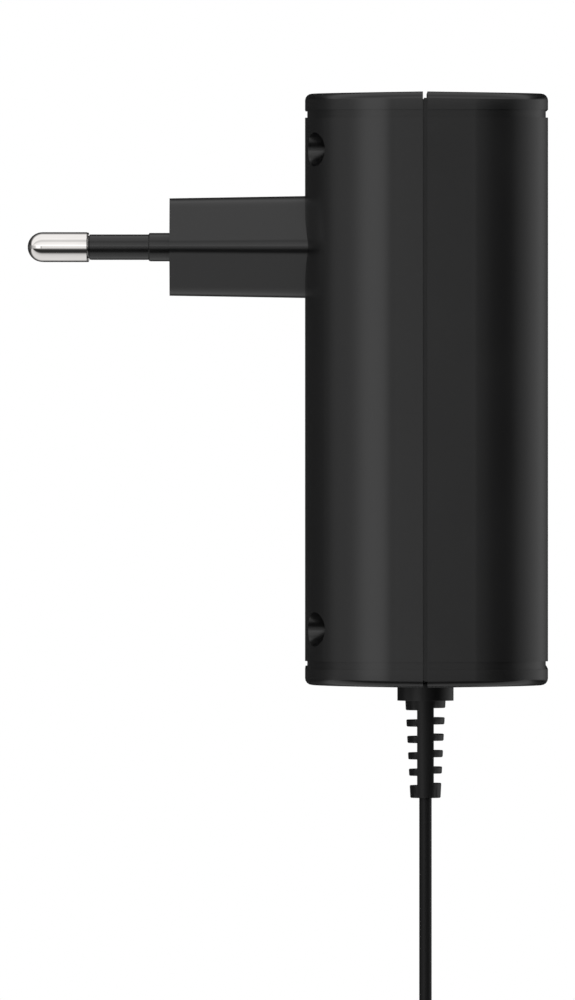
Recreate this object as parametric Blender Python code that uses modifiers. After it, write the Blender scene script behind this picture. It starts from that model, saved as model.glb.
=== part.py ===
"""Wall-plug power adapter with a two-pin plug, a two-part housing and a flat low-voltage cord.

Metres, +Z up. The origin is the middle of the plug's engagement face. The pins point along -X,
the housing stands off the wall along +X, and the cord hangs down from the housing's underside.
"""

import math

import bmesh
import bpy
from mathutils import Matrix, Vector

# Fits
GAP = 0.0003
SLIDE_GAP = 0.0001

# Housing
FRONT_X = 0.0182
HOUSING_DEPTH = 0.0326
HOUSING_WIDTH = 0.054
HOUSING_HEIGHT = 0.0798
HOUSING_CENTRE_Z = -0.0191
FRONT_CORNER = 0.0128
REAR_CORNER = 0.010
EDGE_FILLET = 0.0009
DRAFT = math.radians(0.85)
WALL = 0.002
CORNER_STEPS = 9
FILLET_STEPS = 2

# Seam between the two shells
SEAM_FROM_FRONT = 0.0161
SEAM_GROOVE_WIDTH = 0.0006
SEAM_GROOVE_DEPTH = 0.00085
TONGUE_LENGTH = 0.0018
TONGUE_CLEARANCE = 0.0002

# Decorative bands
BAND_WIDTH = 0.0024
BAND_GROOVE_WIDTH = 0.00105
BAND_GROOVE_DEPTH = 0.0003

# Screws
SCREW_FROM_SIDE = 0.0073
SCREW_FROM_END = 0.00775
SCREW_RECESS_RADIUS = 0.00215
SCREW_HEAD_RADIUS = 0.0019
SCREW_HEAD_HEIGHT = 0.0015
SCREW_SHANK_RADIUS = 0.0011
SCREW_LENGTH = 0.012
SCREW_SEAT_THICKNESS = 0.0045
BOSS_RADIUS = 0.0035
POST_RADIUS = 0.003
ROUND_STEPS = 20
CAN_STEPS = 16

# Plug nose
NOSE_HALF_HEIGHT = 0.00685
NOSE_HALF_WIDTH = 0.01765
NOSE_FLAT_HALF_WIDTH = 0.01305
NOSE_RIDGE_FILLET = 0.002
NOSE_EDGE_FILLET = 0.003
NOSE_DRAFT = math.radians(0.97)
NOSE_WALL = 0.002
NOSE_FACE_WALL = 0.003
NOSE_FILLET_STEPS = 4
NOSE_LIP_HALF_WIDTH = 0.008
NOSE_LIP_HEIGHT = 0.001
NOSE_LIP_THICKNESS = 0.0012

# Pins
PIN_SPACING = 0.0186
PIN_LENGTH = 0.0191
PIN_RADIUS = 0.002
PIN_METAL_LENGTH = 0.0082
PIN_CORE_RADIUS = 0.0013
PIN_TAIL = 0.014
PIN_LEAN = math.radians(1.6)
PIN_SHOULDER = 0.0003
SLEEVE_RADIUS = 0.0017
COLLAR_RADIUS = 0.0019
COLLAR_LENGTH = 0.0028
CARRIER_LENGTH = 0.0075
TIP_STEPS = 5

# Circuit board
BOARD_STANDOFF = 0.004
BOARD_THICKNESS = 0.0016
RIB_THICKNESS = 0.0015
RIB_WIDTH = 0.006
RIB_SPACING_Y = 0.022
LEAD_RADIUS = 0.0006
WIRE_STEPS = 6
MAINS_LEAD_SHIFT = 0.002
OUTPUT_LEAD_RISE = 0.0015
OUTPUT_LEAD_STRIP = 0.003
OUTPUT_LEAD_SPACING = 0.004

# Parts on the board, which stand in rows
CAN_CRIMP_SHARE = 0.1
BULK_CAN_RADIUS = 0.005
BULK_CAN_LENGTH = 0.0165
OUTPUT_CAN_RADIUS = 0.0035
OUTPUT_CAN_LENGTH = 0.014
CHOKE_RADIUS = 0.0035
CHOKE_LENGTH = 0.0095
CHOKE_EASE = 0.0005
RESISTOR_RADIUS = 0.0021
RESISTOR_LENGTH = 0.0105
DIODE_RADIUS = 0.0026
DIODE_LENGTH = 0.0095
BLOCK_BEVEL = 0.0004
X_CAPACITOR_SIZE = (0.011, 0.0125, 0.006)
BRIDGE_SIZE = (0.0032, 0.0085, 0.0062)
CHIP_SIZE = (0.0015, 0.005, 0.0042)
CHIP_BEVEL = 0.0002
OPTOCOUPLER_SIZE = (0.0035, 0.0065, 0.0046)
Y_CAPACITOR_SIZE = (0.008, 0.008, 0.0036)
Y_CAPACITOR_BEVEL = 0.001
TRANSFORMER_BASE = 0.0015
CORE_WIDTH = 0.025
CORE_DEPTH = 0.007
CORE_LIMB = 0.0046
CORE_WINDOW = 0.003
CORE_YOKE = 0.0022
WINDING_OVERHANG = 0.0038
WINDING_BEVEL = 0.0012
TRANSISTOR_WIDTH = 0.01
TRANSISTOR_DEPTH = 0.0044
TRANSISTOR_HEIGHT = 0.0125
TRANSISTOR_LEGS = 0.003
HEAT_SINK_THICKNESS = 0.0015

# Strain relief
RELIEF_NECK_RADIUS = 0.0026
RELIEF_FLANGE_RADIUS = 0.0038
RELIEF_FLANGE_THICKNESS = 0.0012
RELIEF_COLLAR_RADIUS = 0.00379
RELIEF_COLLAR_THICKNESS = 0.0017
RELIEF_LENGTH = 0.0131
RELIEF_TOP_HALF_X = 0.00272
RELIEF_END_HALF_X = 0.00204
RELIEF_HALF_Y_SHARE = 1.29
RELIEF_WEB = 0.00225
RELIEF_SLOT = 0.00127
RELIEF_PITCH = 0.00221
RELIEF_SLOTS = 5
RELIEF_FIRST_SLOT = 0.00098
RELIEF_SLOT_STAGGER = 0.0003
RELIEF_BEHIND_SEAM = 0.0001

# Flat twin cord
CORD_THICKNESS = 0.00164
CORD_WIDTH = 0.0033
CORD_SIDES = 5

# Hank, seen from the front: two round loops joined at a tied waist
HANK_TOP_Z = -0.110
LOOP_RADIUS = 0.0099
WAIST_RADIUS = 0.012
WAIST_HALF_LENGTH = 0.006
WAIST_HALF_GAP = 0.00095
LAYER_PITCH = 0.0017
LAYERS = 2
COLUMN_PITCH = 0.0034
SIDE_COLUMNS = 2
HANK_MARGIN = 0.0001
HANK_STEPS = 10
TIE_HEIGHT = 0.0075
TIE_THICKNESS = 0.0011
TAIL_LENGTH = 0.0115

# Barrel plug on the cord's end
GRIP_RADIUS = 0.0048
GRIP_LENGTH = 0.021
GRIP_NECK_RADIUS = 0.0031
GRIP_NECK_LENGTH = 0.0085
BARREL_RADIUS = 0.00275
BARREL_BORE_RADIUS = 0.0023
BARREL_LENGTH = 0.0095
BARREL_FLANGE_RADIUS = 0.0038
BARREL_FLANGE_THICKNESS = 0.0008
CONTACT_BORE_RADIUS = 0.00105
BARREL_END_STEP = 0.0008

# Places that follow from the sizes above
REAR_X = FRONT_X + HOUSING_DEPTH
SEAM_X = FRONT_X + SEAM_FROM_FRONT
FRONT_RIM_X = SEAM_X - SEAM_GROOVE_WIDTH / 2
REAR_RIM_X = SEAM_X + SEAM_GROOVE_WIDTH / 2
TONGUE_X = FRONT_RIM_X - TONGUE_LENGTH
REBATE_X = TONGUE_X - TONGUE_CLEARANCE
BOSS_END_X = REBATE_X - TONGUE_CLEARANCE
POST_END_X = BOSS_END_X + GAP
SCREW_SEAT_X = BOSS_END_X - SCREW_SEAT_THICKNESS
NOSE_LIP_X = FRONT_X + WALL + SLIDE_GAP
NOSE_END_X = NOSE_LIP_X + NOSE_LIP_THICKNESS
SCREW_HALF_SPACING_Y = HOUSING_WIDTH / 2 - SCREW_FROM_SIDE
SCREW_HALF_SPACING_Z = HOUSING_HEIGHT / 2 - SCREW_FROM_END
TOP_Z = HOUSING_CENTRE_Z + HOUSING_HEIGHT / 2
BOTTOM_Z = HOUSING_CENTRE_Z - HOUSING_HEIGHT / 2
BOARD_X = FRONT_X + WALL + BOARD_STANDOFF
BOARD_REAR_X = BOARD_X + BOARD_THICKNESS
BOARD_HALF_HEIGHT = SCREW_HALF_SPACING_Z + BOSS_RADIUS - 2 * GAP
BOARD_TOP_Z = HOUSING_CENTRE_Z + BOARD_HALF_HEIGHT
BOARD_BOTTOM_Z = HOUSING_CENTRE_Z - BOARD_HALF_HEIGHT
CORD_X = SEAM_X + RELIEF_BEHIND_SEAM
RELIEF_COLLAR_TOP_Z = BOTTOM_Z - SLIDE_GAP
RELIEF_BODY_TOP_Z = RELIEF_COLLAR_TOP_Z - RELIEF_COLLAR_THICKNESS
RELIEF_END_Z = RELIEF_BODY_TOP_Z - RELIEF_LENGTH
RELIEF_FLANGE_Z = BOTTOM_Z + WALL + GAP
WAIST_ANGLE = math.acos((WAIST_HALF_GAP + WAIST_RADIUS) / (LOOP_RADIUS + WAIST_RADIUS))
LOOP_CENTRE = WAIST_HALF_LENGTH + (LOOP_RADIUS + WAIST_RADIUS) * math.sin(WAIST_ANGLE)
HANK_OUTSET = (LAYERS - 1) * LAYER_PITCH + CORD_THICKNESS / 2 + HANK_MARGIN
HANK_HALF_HEIGHT = LOOP_CENTRE + LOOP_RADIUS + HANK_OUTSET
HANK_HALF_DEPTH = SIDE_COLUMNS * COLUMN_PITCH + CORD_WIDTH / 2 + HANK_MARGIN
HANK_CENTRE_Z = HANK_TOP_Z - HANK_HALF_HEIGHT
TAIL_TOP_Z = HANK_TOP_Z - 2 * HANK_HALF_HEIGHT - GAP
GRIP_TOP_Z = TAIL_TOP_Z - TAIL_LENGTH - GAP

# Where the cord runs uncoiled: hand-chosen points, straight down under its own weight
LEAD_ROUTE = [
    (CORD_X, 0.0, RELIEF_END_Z - GAP),
    (CORD_X, 0.0, -0.0800),
    (CORD_X, 0.0, -0.0880),
    (CORD_X, 0.0, -0.0960),
    (CORD_X, 0.0, -0.1035),
    (CORD_X, 0.0, HANK_TOP_Z + GAP),
]
TAIL_ROUTE = [
    (CORD_X, 0.0, TAIL_TOP_Z),
    (CORD_X, 0.0, TAIL_TOP_Z - TAIL_LENGTH / 2),
    (CORD_X, 0.0, TAIL_TOP_Z - TAIL_LENGTH),
]


def clear_scene():
    for obj in list(bpy.data.objects):
        bpy.data.objects.remove(obj)


def new_collection(name):
    made = bpy.data.collections.new(name)
    bpy.context.scene.collection.children.link(made)
    return made


def finish(name, colour, roughness, metallic=0.0):
    """A plain material with this colour, roughness and metallic value."""
    made = bpy.data.materials.new(name)
    made.use_nodes = True
    shader = made.node_tree.nodes["Principled BSDF"]
    shader.inputs["Base Color"].default_value = (*colour, 1.0)
    shader.inputs["Roughness"].default_value = roughness
    shader.inputs["Metallic"].default_value = metallic
    return made


def put(name, mesh, collection, material=None, turn=None):
    """An object of this mesh in a collection, smooth where its faces meet at a low angle."""
    obj = bpy.data.objects.new(name, mesh)
    collection.objects.link(obj)
    if material:
        mesh.materials.append(material)
    if turn:
        obj.matrix_world = turn
    if isinstance(mesh, bpy.types.Mesh) and mesh.polygons:
        mesh.shade_smooth()
        mesh.set_sharp_from_angle(angle=math.radians(35))
    if collection is cutters:
        obj.hide_render = True
        obj.display_type = "WIRE"
    return obj


def mesh_of(name, made):
    """A mesh from a bmesh whose faces are turned outwards."""
    bmesh.ops.recalc_face_normals(made, faces=made.faces)
    mesh = bpy.data.meshes.new(name)
    made.to_mesh(mesh)
    made.free()
    return mesh


def cut(obj, tool, operation="DIFFERENCE"):
    """A Boolean on obj with one tool."""
    modifier = obj.modifiers.new(tool.name, "BOOLEAN")
    modifier.operation = operation
    modifier.object = tool


def box(name, low, high, collection, material=None, bevel=0.0):
    """A box between two corners, its edges rounded by bevel."""
    low, high = Vector(low), Vector(high)
    made = bmesh.new()
    place = Matrix.Translation((low + high) / 2) @ Matrix.Diagonal((*(high - low), 1.0))
    bmesh.ops.create_cube(made, size=1.0, matrix=place)
    obj = put(name, mesh_of(name, made), collection, material)
    if bevel:
        round_off = obj.modifiers.new("edges", "BEVEL")
        round_off.width = bevel
        round_off.segments = 2
        round_off.limit_method = "ANGLE"
    return obj


def along_x(y, z, lean=0.0):
    """Turns a piece made about Z so that its Z runs along +X through (y, z)."""
    return (
        Matrix.Translation((0.0, y, z))
        @ Matrix.Rotation(lean, 4, "Z")
        @ Matrix.Rotation(math.pi / 2, 4, "Y")
    )


def down_at(x, y):
    """Places a piece made about Z on the vertical line through (x, y)."""
    return Matrix.Translation((x, y, 0.0))


def turned(name, profile, collection, material, turn, steps=ROUND_STEPS, ring=False):
    """A profile of (radius, height) points, from the top down its outer side, turned about Z."""
    made = bmesh.new()
    points = [made.verts.new((radius, 0.0, height)) for radius, height in profile]
    for first, second in zip(points, points[1:] + points[:1] if ring else points[1:]):
        made.edges.new((first, second))
    mesh = bpy.data.meshes.new(name)
    made.to_mesh(mesh)
    made.free()
    obj = put(name, mesh, collection, material, turn)
    screw = obj.modifiers.new("turn", "SCREW")
    screw.axis = "Z"
    screw.steps = steps
    screw.render_steps = steps
    screw.use_merge_vertices = True
    screw.merge_threshold = 0.00001
    screw.use_smooth_shade = True
    return obj


def rod(name, radius, bottom, top, collection, material, turn, steps=ROUND_STEPS, ease=0.0):
    """A plain round bar from bottom to top along its own Z, its ends eased."""
    profile = [(0.0, top), (radius, top), (radius, bottom), (0.0, bottom)]
    if ease:
        profile[1:3] = [
            (radius - ease, top),
            (radius, top - ease),
            (radius, bottom + ease),
            (radius - ease, bottom),
        ]
    return turned(name, profile, collection, material, turn, steps)


def tube(name, radius, bore, bottom, top, collection, material, turn, steps=ROUND_STEPS):
    """A round bar with a bore right through it."""
    profile = [(bore, top), (radius, top), (radius, bottom), (bore, bottom)]
    return turned(name, profile, collection, material, turn, steps, ring=True)


def loft(name, outlines, collection, material=None):
    """A closed solid through outlines that have the same number of points."""
    made = bmesh.new()
    rings = [[made.verts.new(point) for point in outline] for outline in outlines]
    for lower, upper in zip(rings, rings[1:]):
        for i in range(len(lower)):
            j = (i + 1) % len(lower)
            made.faces.new((lower[i], lower[j], upper[j], upper[i]))
    made.faces.new(rings[0])
    made.faces.new(rings[-1])
    return put(name, mesh_of(name, made), collection, material)


def rise(x, end_x):
    """How far the moulding draft has drawn the walls in at x, on the half that ends at end_x."""
    toward_end = 1 if end_x > SEAM_X else -1
    return math.tan(DRAFT) * toward_end * (x - SEAM_X)


def half_plan(end_x, corner, inset, rim_x):
    """The outline, from above, of the half between rim_x and end_x, with every wall inset."""
    toward_end = 1 if end_x > SEAM_X else -1
    centre_x = end_x - toward_end * corner
    half_width = HOUSING_WIDTH / 2
    centre_y = half_width - rise(centre_x, end_x) - corner / math.cos(DRAFT)
    side = [(rim_x, half_width - inset / math.cos(DRAFT) - rise(rim_x, end_x))]
    for i in range(CORNER_STEPS + 1):
        angle = DRAFT + (math.pi / 2 - DRAFT) * i / CORNER_STEPS
        x = centre_x + toward_end * (corner - inset) * math.sin(angle)
        y = centre_y + (corner - inset) * math.cos(angle)
        side.append((x, y))
    return side + [(x, -y) for x, y in reversed(side)]


def half_block(name, end_x, corner, inset, rim_x, collection, material=None, fillet=0.0):
    """One half of the housing as a solid block, inset from the outer walls."""
    plan = half_plan(end_x, corner, inset, rim_x)
    made = bmesh.new()
    low = [made.verts.new((x, y, BOTTOM_Z + inset + rise(x, end_x))) for x, y in plan]
    high = [made.verts.new((x, y, TOP_Z - inset - rise(x, end_x))) for x, y in plan]
    for i in range(len(plan)):
        j = (i + 1) % len(plan)
        made.faces.new((low[i], low[j], high[j], high[i]))
    caps = [made.faces.new(low), made.faces.new(high)]
    bmesh.ops.recalc_face_normals(made, faces=made.faces)
    if fillet:
        rim = [
            edge
            for cap in caps
            for edge in cap.edges
            if any(abs(vert.co.x - rim_x) > SLIDE_GAP for vert in edge.verts)
        ]
        bmesh.ops.bevel(
            made,
            geom=rim,
            offset=fillet,
            segments=FILLET_STEPS,
            profile=0.5,
            affect="EDGES",
        )
    return put(name, mesh_of(name, made), collection, material)


def band_grooves(shell, end_x, corner, rim_x):
    """Cuts the shallow grooves that set off a band at the top and at the bottom of a shell."""
    beyond = math.copysign(WALL, end_x - rim_x)
    depth, core_rim_x = BAND_GROOVE_DEPTH, rim_x - 2 * beyond
    core = half_block(f"{shell.name}_groove_core", end_x, corner, depth, core_rim_x, cutters)
    low_x, high_x = sorted((end_x + beyond, rim_x - beyond))
    top = TOP_Z - BAND_WIDTH - BAND_GROOVE_WIDTH
    bottom = BOTTOM_Z + BAND_WIDTH
    for end, low_z in (("top", top), ("bottom", bottom)):
        low = (low_x, -HOUSING_WIDTH, low_z)
        high = (high_x, HOUSING_WIDTH, low_z + BAND_GROOVE_WIDTH)
        slab = box(f"{shell.name}_{end}_groove", low, high, cutters)
        cut(slab, core)
        cut(shell, slab)


def screw_places():
    """(name ending, y, z) of each screw."""
    for up, z_side in (("top", 1), ("bottom", -1)):
        for across, y_side in (("left", -1), ("right", 1)):
            z = HOUSING_CENTRE_Z + z_side * SCREW_HALF_SPACING_Z
            yield f"{up}_{across}", y_side * SCREW_HALF_SPACING_Y, z


def nose_corners(inset):
    """The corners of the plug's six-sided outline, moved inwards by inset."""
    slant_y = NOSE_HALF_WIDTH - NOSE_FLAT_HALF_WIDTH
    slant = math.hypot(slant_y, NOSE_HALF_HEIGHT)
    half_height = NOSE_HALF_HEIGHT - inset
    half_width = NOSE_HALF_WIDTH - inset * slant / NOSE_HALF_HEIGHT
    flat = half_width - half_height * slant_y / NOSE_HALF_HEIGHT
    quarter = [(half_width, 0.0, NOSE_RIDGE_FILLET), (flat, half_height, NOSE_EDGE_FILLET)]
    mirrored = [(-quarter[1][0], quarter[1][1], NOSE_EDGE_FILLET)]
    opposite = [(-y, -z, radius) for y, z, radius in quarter + mirrored]
    return quarter + mirrored + opposite


def nose_outline(x, inset):
    """The plug's outline at x, with its corners rounded. The draft widens it towards the housing."""
    corners = nose_corners(inset + math.tan(NOSE_DRAFT) * (FRONT_X - x))
    outline = []
    for i, (y, z, radius) in enumerate(corners):
        here = Vector((y, z))
        before = (Vector(corners[i - 1][:2]) - here).normalized()
        after = (Vector(corners[(i + 1) % len(corners)][:2]) - here).normalized()
        half_angle = before.angle(after) / 2
        bend = max(radius - inset, SLIDE_GAP)
        centre = here + (before + after).normalized() * bend / math.sin(half_angle)
        first = here + before * bend / math.tan(half_angle) - centre
        start = math.atan2(first.y, first.x)
        for step in range(NOSE_FILLET_STEPS + 1):
            angle = start + (math.pi - 2 * half_angle) * step / NOSE_FILLET_STEPS
            outline.append((x, centre.x + bend * math.cos(angle), centre.y + bend * math.sin(angle)))
    return outline


def nose(name, inset, start_x, end_x):
    """The plug's tapered block between two distances from its engagement face."""
    return loft(name, [nose_outline(start_x, inset), nose_outline(end_x, inset)], cutters)


def pin_sides():
    """(name ending, y at the engagement face, lean) of each pin: the tips lean together."""
    for side_name, side in (("left", -1), ("right", 1)):
        yield side_name, side * PIN_SPACING / 2, side * PIN_LEAN


def cable_hole(name):
    """Cutter for the hole in the underside that the strain relief sits in."""
    radius = RELIEF_NECK_RADIUS + SLIDE_GAP
    low, high = BOTTOM_Z - WALL, BOTTOM_Z + WALL + EDGE_FILLET
    return rod(name, radius, low, high, cutters, None, down_at(CORD_X, 0.0))


def front_shell(material):
    """The half of the housing next to the wall, with a window for the plug block."""
    shell = half_block(
        "front_shell", FRONT_X, FRONT_CORNER, 0.0, FRONT_RIM_X, parts, material, EDGE_FILLET
    )
    room = half_block("front_room", FRONT_X, FRONT_CORNER, WALL, REAR_RIM_X, cutters)
    for ending, y, z in screw_places():
        boss = rod(f"boss_{ending}", BOSS_RADIUS, 0.0, BOSS_END_X, cutters, None, along_x(y, z))
        cut(room, boss)
    for i, (y, z) in enumerate(rib_places()):
        low = (0.0, y - RIB_WIDTH / 2, z - RIB_THICKNESS / 2)
        high = (BOARD_X - SLIDE_GAP, y + RIB_WIDTH / 2, z + RIB_THICKNESS / 2)
        cut(room, box(f"rib_{i}", low, high, cutters))
    cut(shell, room)
    cut(shell, nose("plug_window", -SLIDE_GAP, FRONT_X - WALL, FRONT_X + 2 * WALL))
    rim_inset = SEAM_GROOVE_DEPTH - TONGUE_CLEARANCE
    rebate = half_block("rebate", FRONT_X, FRONT_CORNER, rim_inset, REAR_RIM_X, cutters)
    ahead = box(
        "rebate_end",
        (0.0, -HOUSING_WIDTH, BOTTOM_Z - WALL),
        (REBATE_X, HOUSING_WIDTH, TOP_Z + WALL),
        cutters,
    )
    cut(rebate, ahead)
    cut(shell, rebate)
    band_grooves(shell, FRONT_X, FRONT_CORNER, FRONT_RIM_X)
    for ending, y, z in screw_places():
        hole_radius = SCREW_SHANK_RADIUS + SLIDE_GAP
        profile = [
            (0.0, REAR_RIM_X),
            (hole_radius, REAR_RIM_X),
            (hole_radius, SCREW_SEAT_X),
            (SCREW_RECESS_RADIUS, SCREW_SEAT_X),
            (SCREW_RECESS_RADIUS, FRONT_X / 2),
            (0.0, FRONT_X / 2),
        ]
        cut(shell, turned(f"screw_hole_{ending}", profile, cutters, None, along_x(y, z)))
    cut(shell, cable_hole("front_cable_hole"))


def plug_block(material):
    """The hollow block that the pins stand on, with a lip behind the window's top and bottom."""
    outlines = [nose_outline(0.0, 0.0), nose_outline(NOSE_END_X, 0.0)]
    block = loft("plug_block", outlines, parts, material)
    for end, side in (("upper", 1), ("lower", -1)):
        root = side * (NOSE_HALF_HEIGHT - NOSE_WALL / 2)
        edge = side * (NOSE_HALF_HEIGHT + NOSE_LIP_HEIGHT)
        low = (NOSE_LIP_X, -NOSE_LIP_HALF_WIDTH, min(root, edge))
        high = (NOSE_END_X, NOSE_LIP_HALF_WIDTH, max(root, edge))
        cut(block, box(f"{end}_lip", low, high, cutters), "UNION")
    cut(block, nose("nose_room", NOSE_WALL, NOSE_FACE_WALL, NOSE_END_X + WALL))
    for ending, y, lean in pin_sides():
        radius = COLLAR_RADIUS + SLIDE_GAP
        place = along_x(y, 0.0, lean)
        hole = rod(f"pin_hole_{ending}", radius, -COLLAR_LENGTH, FRONT_X / 2, cutters, None, place)
        cut(block, hole)


def rear_shell(material):
    """The plain rear half, with the tongue that laps inside the front half and four screw posts."""
    shell = half_block(
        "rear_shell", REAR_X, REAR_CORNER, 0.0, REAR_RIM_X, parts, material, EDGE_FILLET
    )
    tongue = half_block("tongue", REAR_X, REAR_CORNER, SEAM_GROOVE_DEPTH, TONGUE_X, cutters)
    behind = box(
        "tongue_end",
        (REAR_RIM_X + WALL, -HOUSING_WIDTH, BOTTOM_Z - WALL),
        (REAR_X + WALL, HOUSING_WIDTH, TOP_Z + WALL),
        cutters,
    )
    cut(tongue, behind)
    cut(shell, tongue, "UNION")
    room = half_block("rear_room", REAR_X, REAR_CORNER, WALL, TONGUE_X - WALL, cutters)
    for ending, y, z in screw_places():
        post = rod(
            f"post_{ending}", POST_RADIUS, POST_END_X, REAR_X, cutters, None, along_x(y, z)
        )
        cut(room, post)
    cut(shell, room)
    band_grooves(shell, REAR_X, REAR_CORNER, REAR_RIM_X)
    for ending, y, z in screw_places():
        depth_x = SCREW_SEAT_X + SCREW_LENGTH + GAP
        radius = SCREW_SHANK_RADIUS + SLIDE_GAP
        place = along_x(y, z)
        pilot = rod(f"pilot_{ending}", radius, SCREW_SEAT_X, depth_x, cutters, None, place)
        cut(shell, pilot)
    cut(shell, cable_hole("rear_cable_hole"))


def screws(material):
    """Four pan-head screws, put in from the plug's side."""
    head_x = SCREW_SEAT_X - SLIDE_GAP
    end_x = head_x + SCREW_LENGTH
    profile = [
        (0.0, end_x),
        (SCREW_SHANK_RADIUS / 2, end_x),
        (SCREW_SHANK_RADIUS, end_x - SCREW_SHANK_RADIUS),
        (SCREW_SHANK_RADIUS, head_x),
        (SCREW_HEAD_RADIUS, head_x),
        (SCREW_HEAD_RADIUS, head_x - SCREW_HEAD_HEIGHT / 2),
        (SCREW_HEAD_RADIUS * 0.6, head_x - SCREW_HEAD_HEIGHT),
        (0.0, head_x - SCREW_HEAD_HEIGHT),
    ]
    for ending, y, z in screw_places():
        turned(f"screw_{ending}", profile, parts, material, along_x(y, z), steps=14)


def pins(metal, sleeve_material, carrier_material):
    """Two round-tipped pins in insulating sleeves, held by a block inside the plug."""
    metal_end = PIN_METAL_LENGTH - PIN_LENGTH
    profile = [
        (0.0, PIN_TAIL),
        (PIN_CORE_RADIUS, PIN_TAIL),
        (PIN_CORE_RADIUS, metal_end),
        (PIN_RADIUS - PIN_SHOULDER, metal_end),
        (PIN_RADIUS, metal_end - PIN_SHOULDER),
    ]
    for step in range(TIP_STEPS):
        angle = math.pi / 2 * step / TIP_STEPS
        height = -PIN_LENGTH + PIN_RADIUS * (1 - math.sin(angle))
        profile.append((PIN_RADIUS * math.cos(angle), height))
    profile.append((0.0, -PIN_LENGTH))
    bore = PIN_CORE_RADIUS + SLIDE_GAP
    collar_end = NOSE_FACE_WALL - GAP
    sleeve = [
        (bore, collar_end),
        (COLLAR_RADIUS, collar_end),
        (COLLAR_RADIUS, -COLLAR_LENGTH),
        (SLEEVE_RADIUS, -COLLAR_LENGTH),
        (SLEEVE_RADIUS, metal_end + SLIDE_GAP),
        (bore, metal_end + SLIDE_GAP),
    ]
    low_x = NOSE_FACE_WALL + GAP
    outlines = [nose_outline(x, NOSE_WALL + GAP) for x in (low_x, low_x + CARRIER_LENGTH)]
    carrier = loft("pin_carrier", outlines, parts, carrier_material)
    for ending, y, lean in pin_sides():
        place = along_x(y, 0.0, lean)
        turned(f"pin_{ending}", profile, parts, metal, place)
        turned(f"pin_sleeve_{ending}", sleeve, parts, sleeve_material, place, ring=True)
        cut(carrier, rod(f"carrier_bore_{ending}", bore, 0.0, PIN_TAIL, cutters, None, place))


def rib_places():
    """(y, z) of each rib that carries the board on the front shell."""
    for z_side in (-1, 1):
        for y_side in (-1, 1):
            z = HOUSING_CENTRE_Z + z_side * (BOARD_HALF_HEIGHT - RIB_THICKNESS)
            yield y_side * RIB_SPACING_Y / 2, z


def room_half_width(x):
    """Half the width of the room inside the front shell at x, within the corner's curve."""
    centre_x = FRONT_X + FRONT_CORNER
    centre_y = HOUSING_WIDTH / 2 - rise(centre_x, FRONT_X) - FRONT_CORNER / math.cos(DRAFT)
    return centre_y + math.sqrt((FRONT_CORNER - WALL) ** 2 - (centre_x - x) ** 2)


def circuit_board(material):
    """The board, its corners cut out round the screw bosses."""
    half_width = room_half_width(BOARD_X) - 3 * GAP
    board = box(
        "circuit_board",
        (BOARD_X, -half_width, BOARD_BOTTOM_Z),
        (BOARD_REAR_X, half_width, BOARD_TOP_Z),
        parts,
        material,
    )
    for ending, y, z in screw_places():
        notch = rod(
            f"notch_{ending}", BOSS_RADIUS + GAP, 0.0, SEAM_X, cutters, None, along_x(y, z)
        )
        cut(board, notch)


def board_rows():
    """(name, width, depth) of each part on the board, row by row from the mains side at the top."""
    bulk = 2 * BULK_CAN_RADIUS
    low_can = 2 * OUTPUT_CAN_RADIUS
    coil = 2 * CHOKE_RADIUS
    cooled = TRANSISTOR_DEPTH + GAP + HEAT_SINK_THICKNESS
    return [
        [("fusible_resistor", RESISTOR_LENGTH, 2 * RESISTOR_RADIUS), ("input_choke", coil, coil)],
        [
            ("bulk_capacitor_left", bulk, bulk),
            ("x_capacitor", *X_CAPACITOR_SIZE[1:]),
            ("bulk_capacitor_right", bulk, bulk),
        ],
        [
            ("switching_transistor", TRANSISTOR_WIDTH, cooled),
            ("bridge_rectifier", *BRIDGE_SIZE[1:]),
        ],
        [("transformer", CORE_WIDTH, CORE_DEPTH + 2 * WINDING_OVERHANG)],
        [
            ("control_chip", *CHIP_SIZE[1:]),
            ("optocoupler", *OPTOCOUPLER_SIZE[1:]),
            ("output_diode", DIODE_LENGTH, 2 * DIODE_RADIUS),
            ("y_capacitor", *Y_CAPACITOR_SIZE[1:]),
        ],
        [
            ("output_capacitor_left", low_can, low_can),
            ("output_choke", coil, coil),
            ("output_capacitor_right", low_can, low_can),
        ],
    ]


def board_places():
    """(y, z) of each part: the rows share out the board's height, and a row's parts its width."""
    rows = board_rows()
    depths = [max(depth for _, _, depth in row) for row in rows]
    height = BOARD_TOP_Z - BOARD_BOTTOM_Z - OUTPUT_LEAD_STRIP
    space_z = (height - sum(depths)) / (len(rows) + 1)
    between_bosses = SCREW_HALF_SPACING_Y - BOSS_RADIUS - GAP
    places = {}
    top = BOARD_TOP_Z - space_z
    for row, depth in zip(rows, depths):
        beside_boss = row in (rows[0], rows[-1])
        half_width = between_bosses if beside_boss else room_half_width(BOARD_X)
        space_y = (2 * half_width - sum(width for _, width, _ in row)) / (len(row) + 1)
        left = space_y - half_width
        for name, width, _ in row:
            places[name] = (left + width / 2, top - depth / 2)
            left += width + space_y
        top -= depth + space_z
    return places


def block(name, size, material, bevel=BLOCK_BEVEL, group=None):
    """A block-shaped part of (height, width, depth) that stands on the board."""
    y, z = places[group or name]
    height, width, depth = size
    low_x = BOARD_REAR_X + GAP
    low = (low_x, y - width / 2, z - depth / 2)
    high = (low_x + height, y + width / 2, z + depth / 2)
    return box(name, low, high, parts, material, bevel)


def can(name, radius, length, material):
    """A capacitor can that stands on the board, with the crimp near its foot."""
    foot = BOARD_REAR_X + GAP
    crimp = radius * CAN_CRIMP_SHARE
    profile = [
        (0.0, foot + length),
        (radius - crimp, foot + length),
        (radius, foot + length - crimp),
        (radius, foot + 3 * crimp),
        (radius - crimp, foot + 2 * crimp),
        (radius, foot + crimp),
        (radius, foot),
        (0.0, foot),
    ]
    turned(name, profile, parts, material, along_x(*places[name]), CAN_STEPS)


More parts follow.
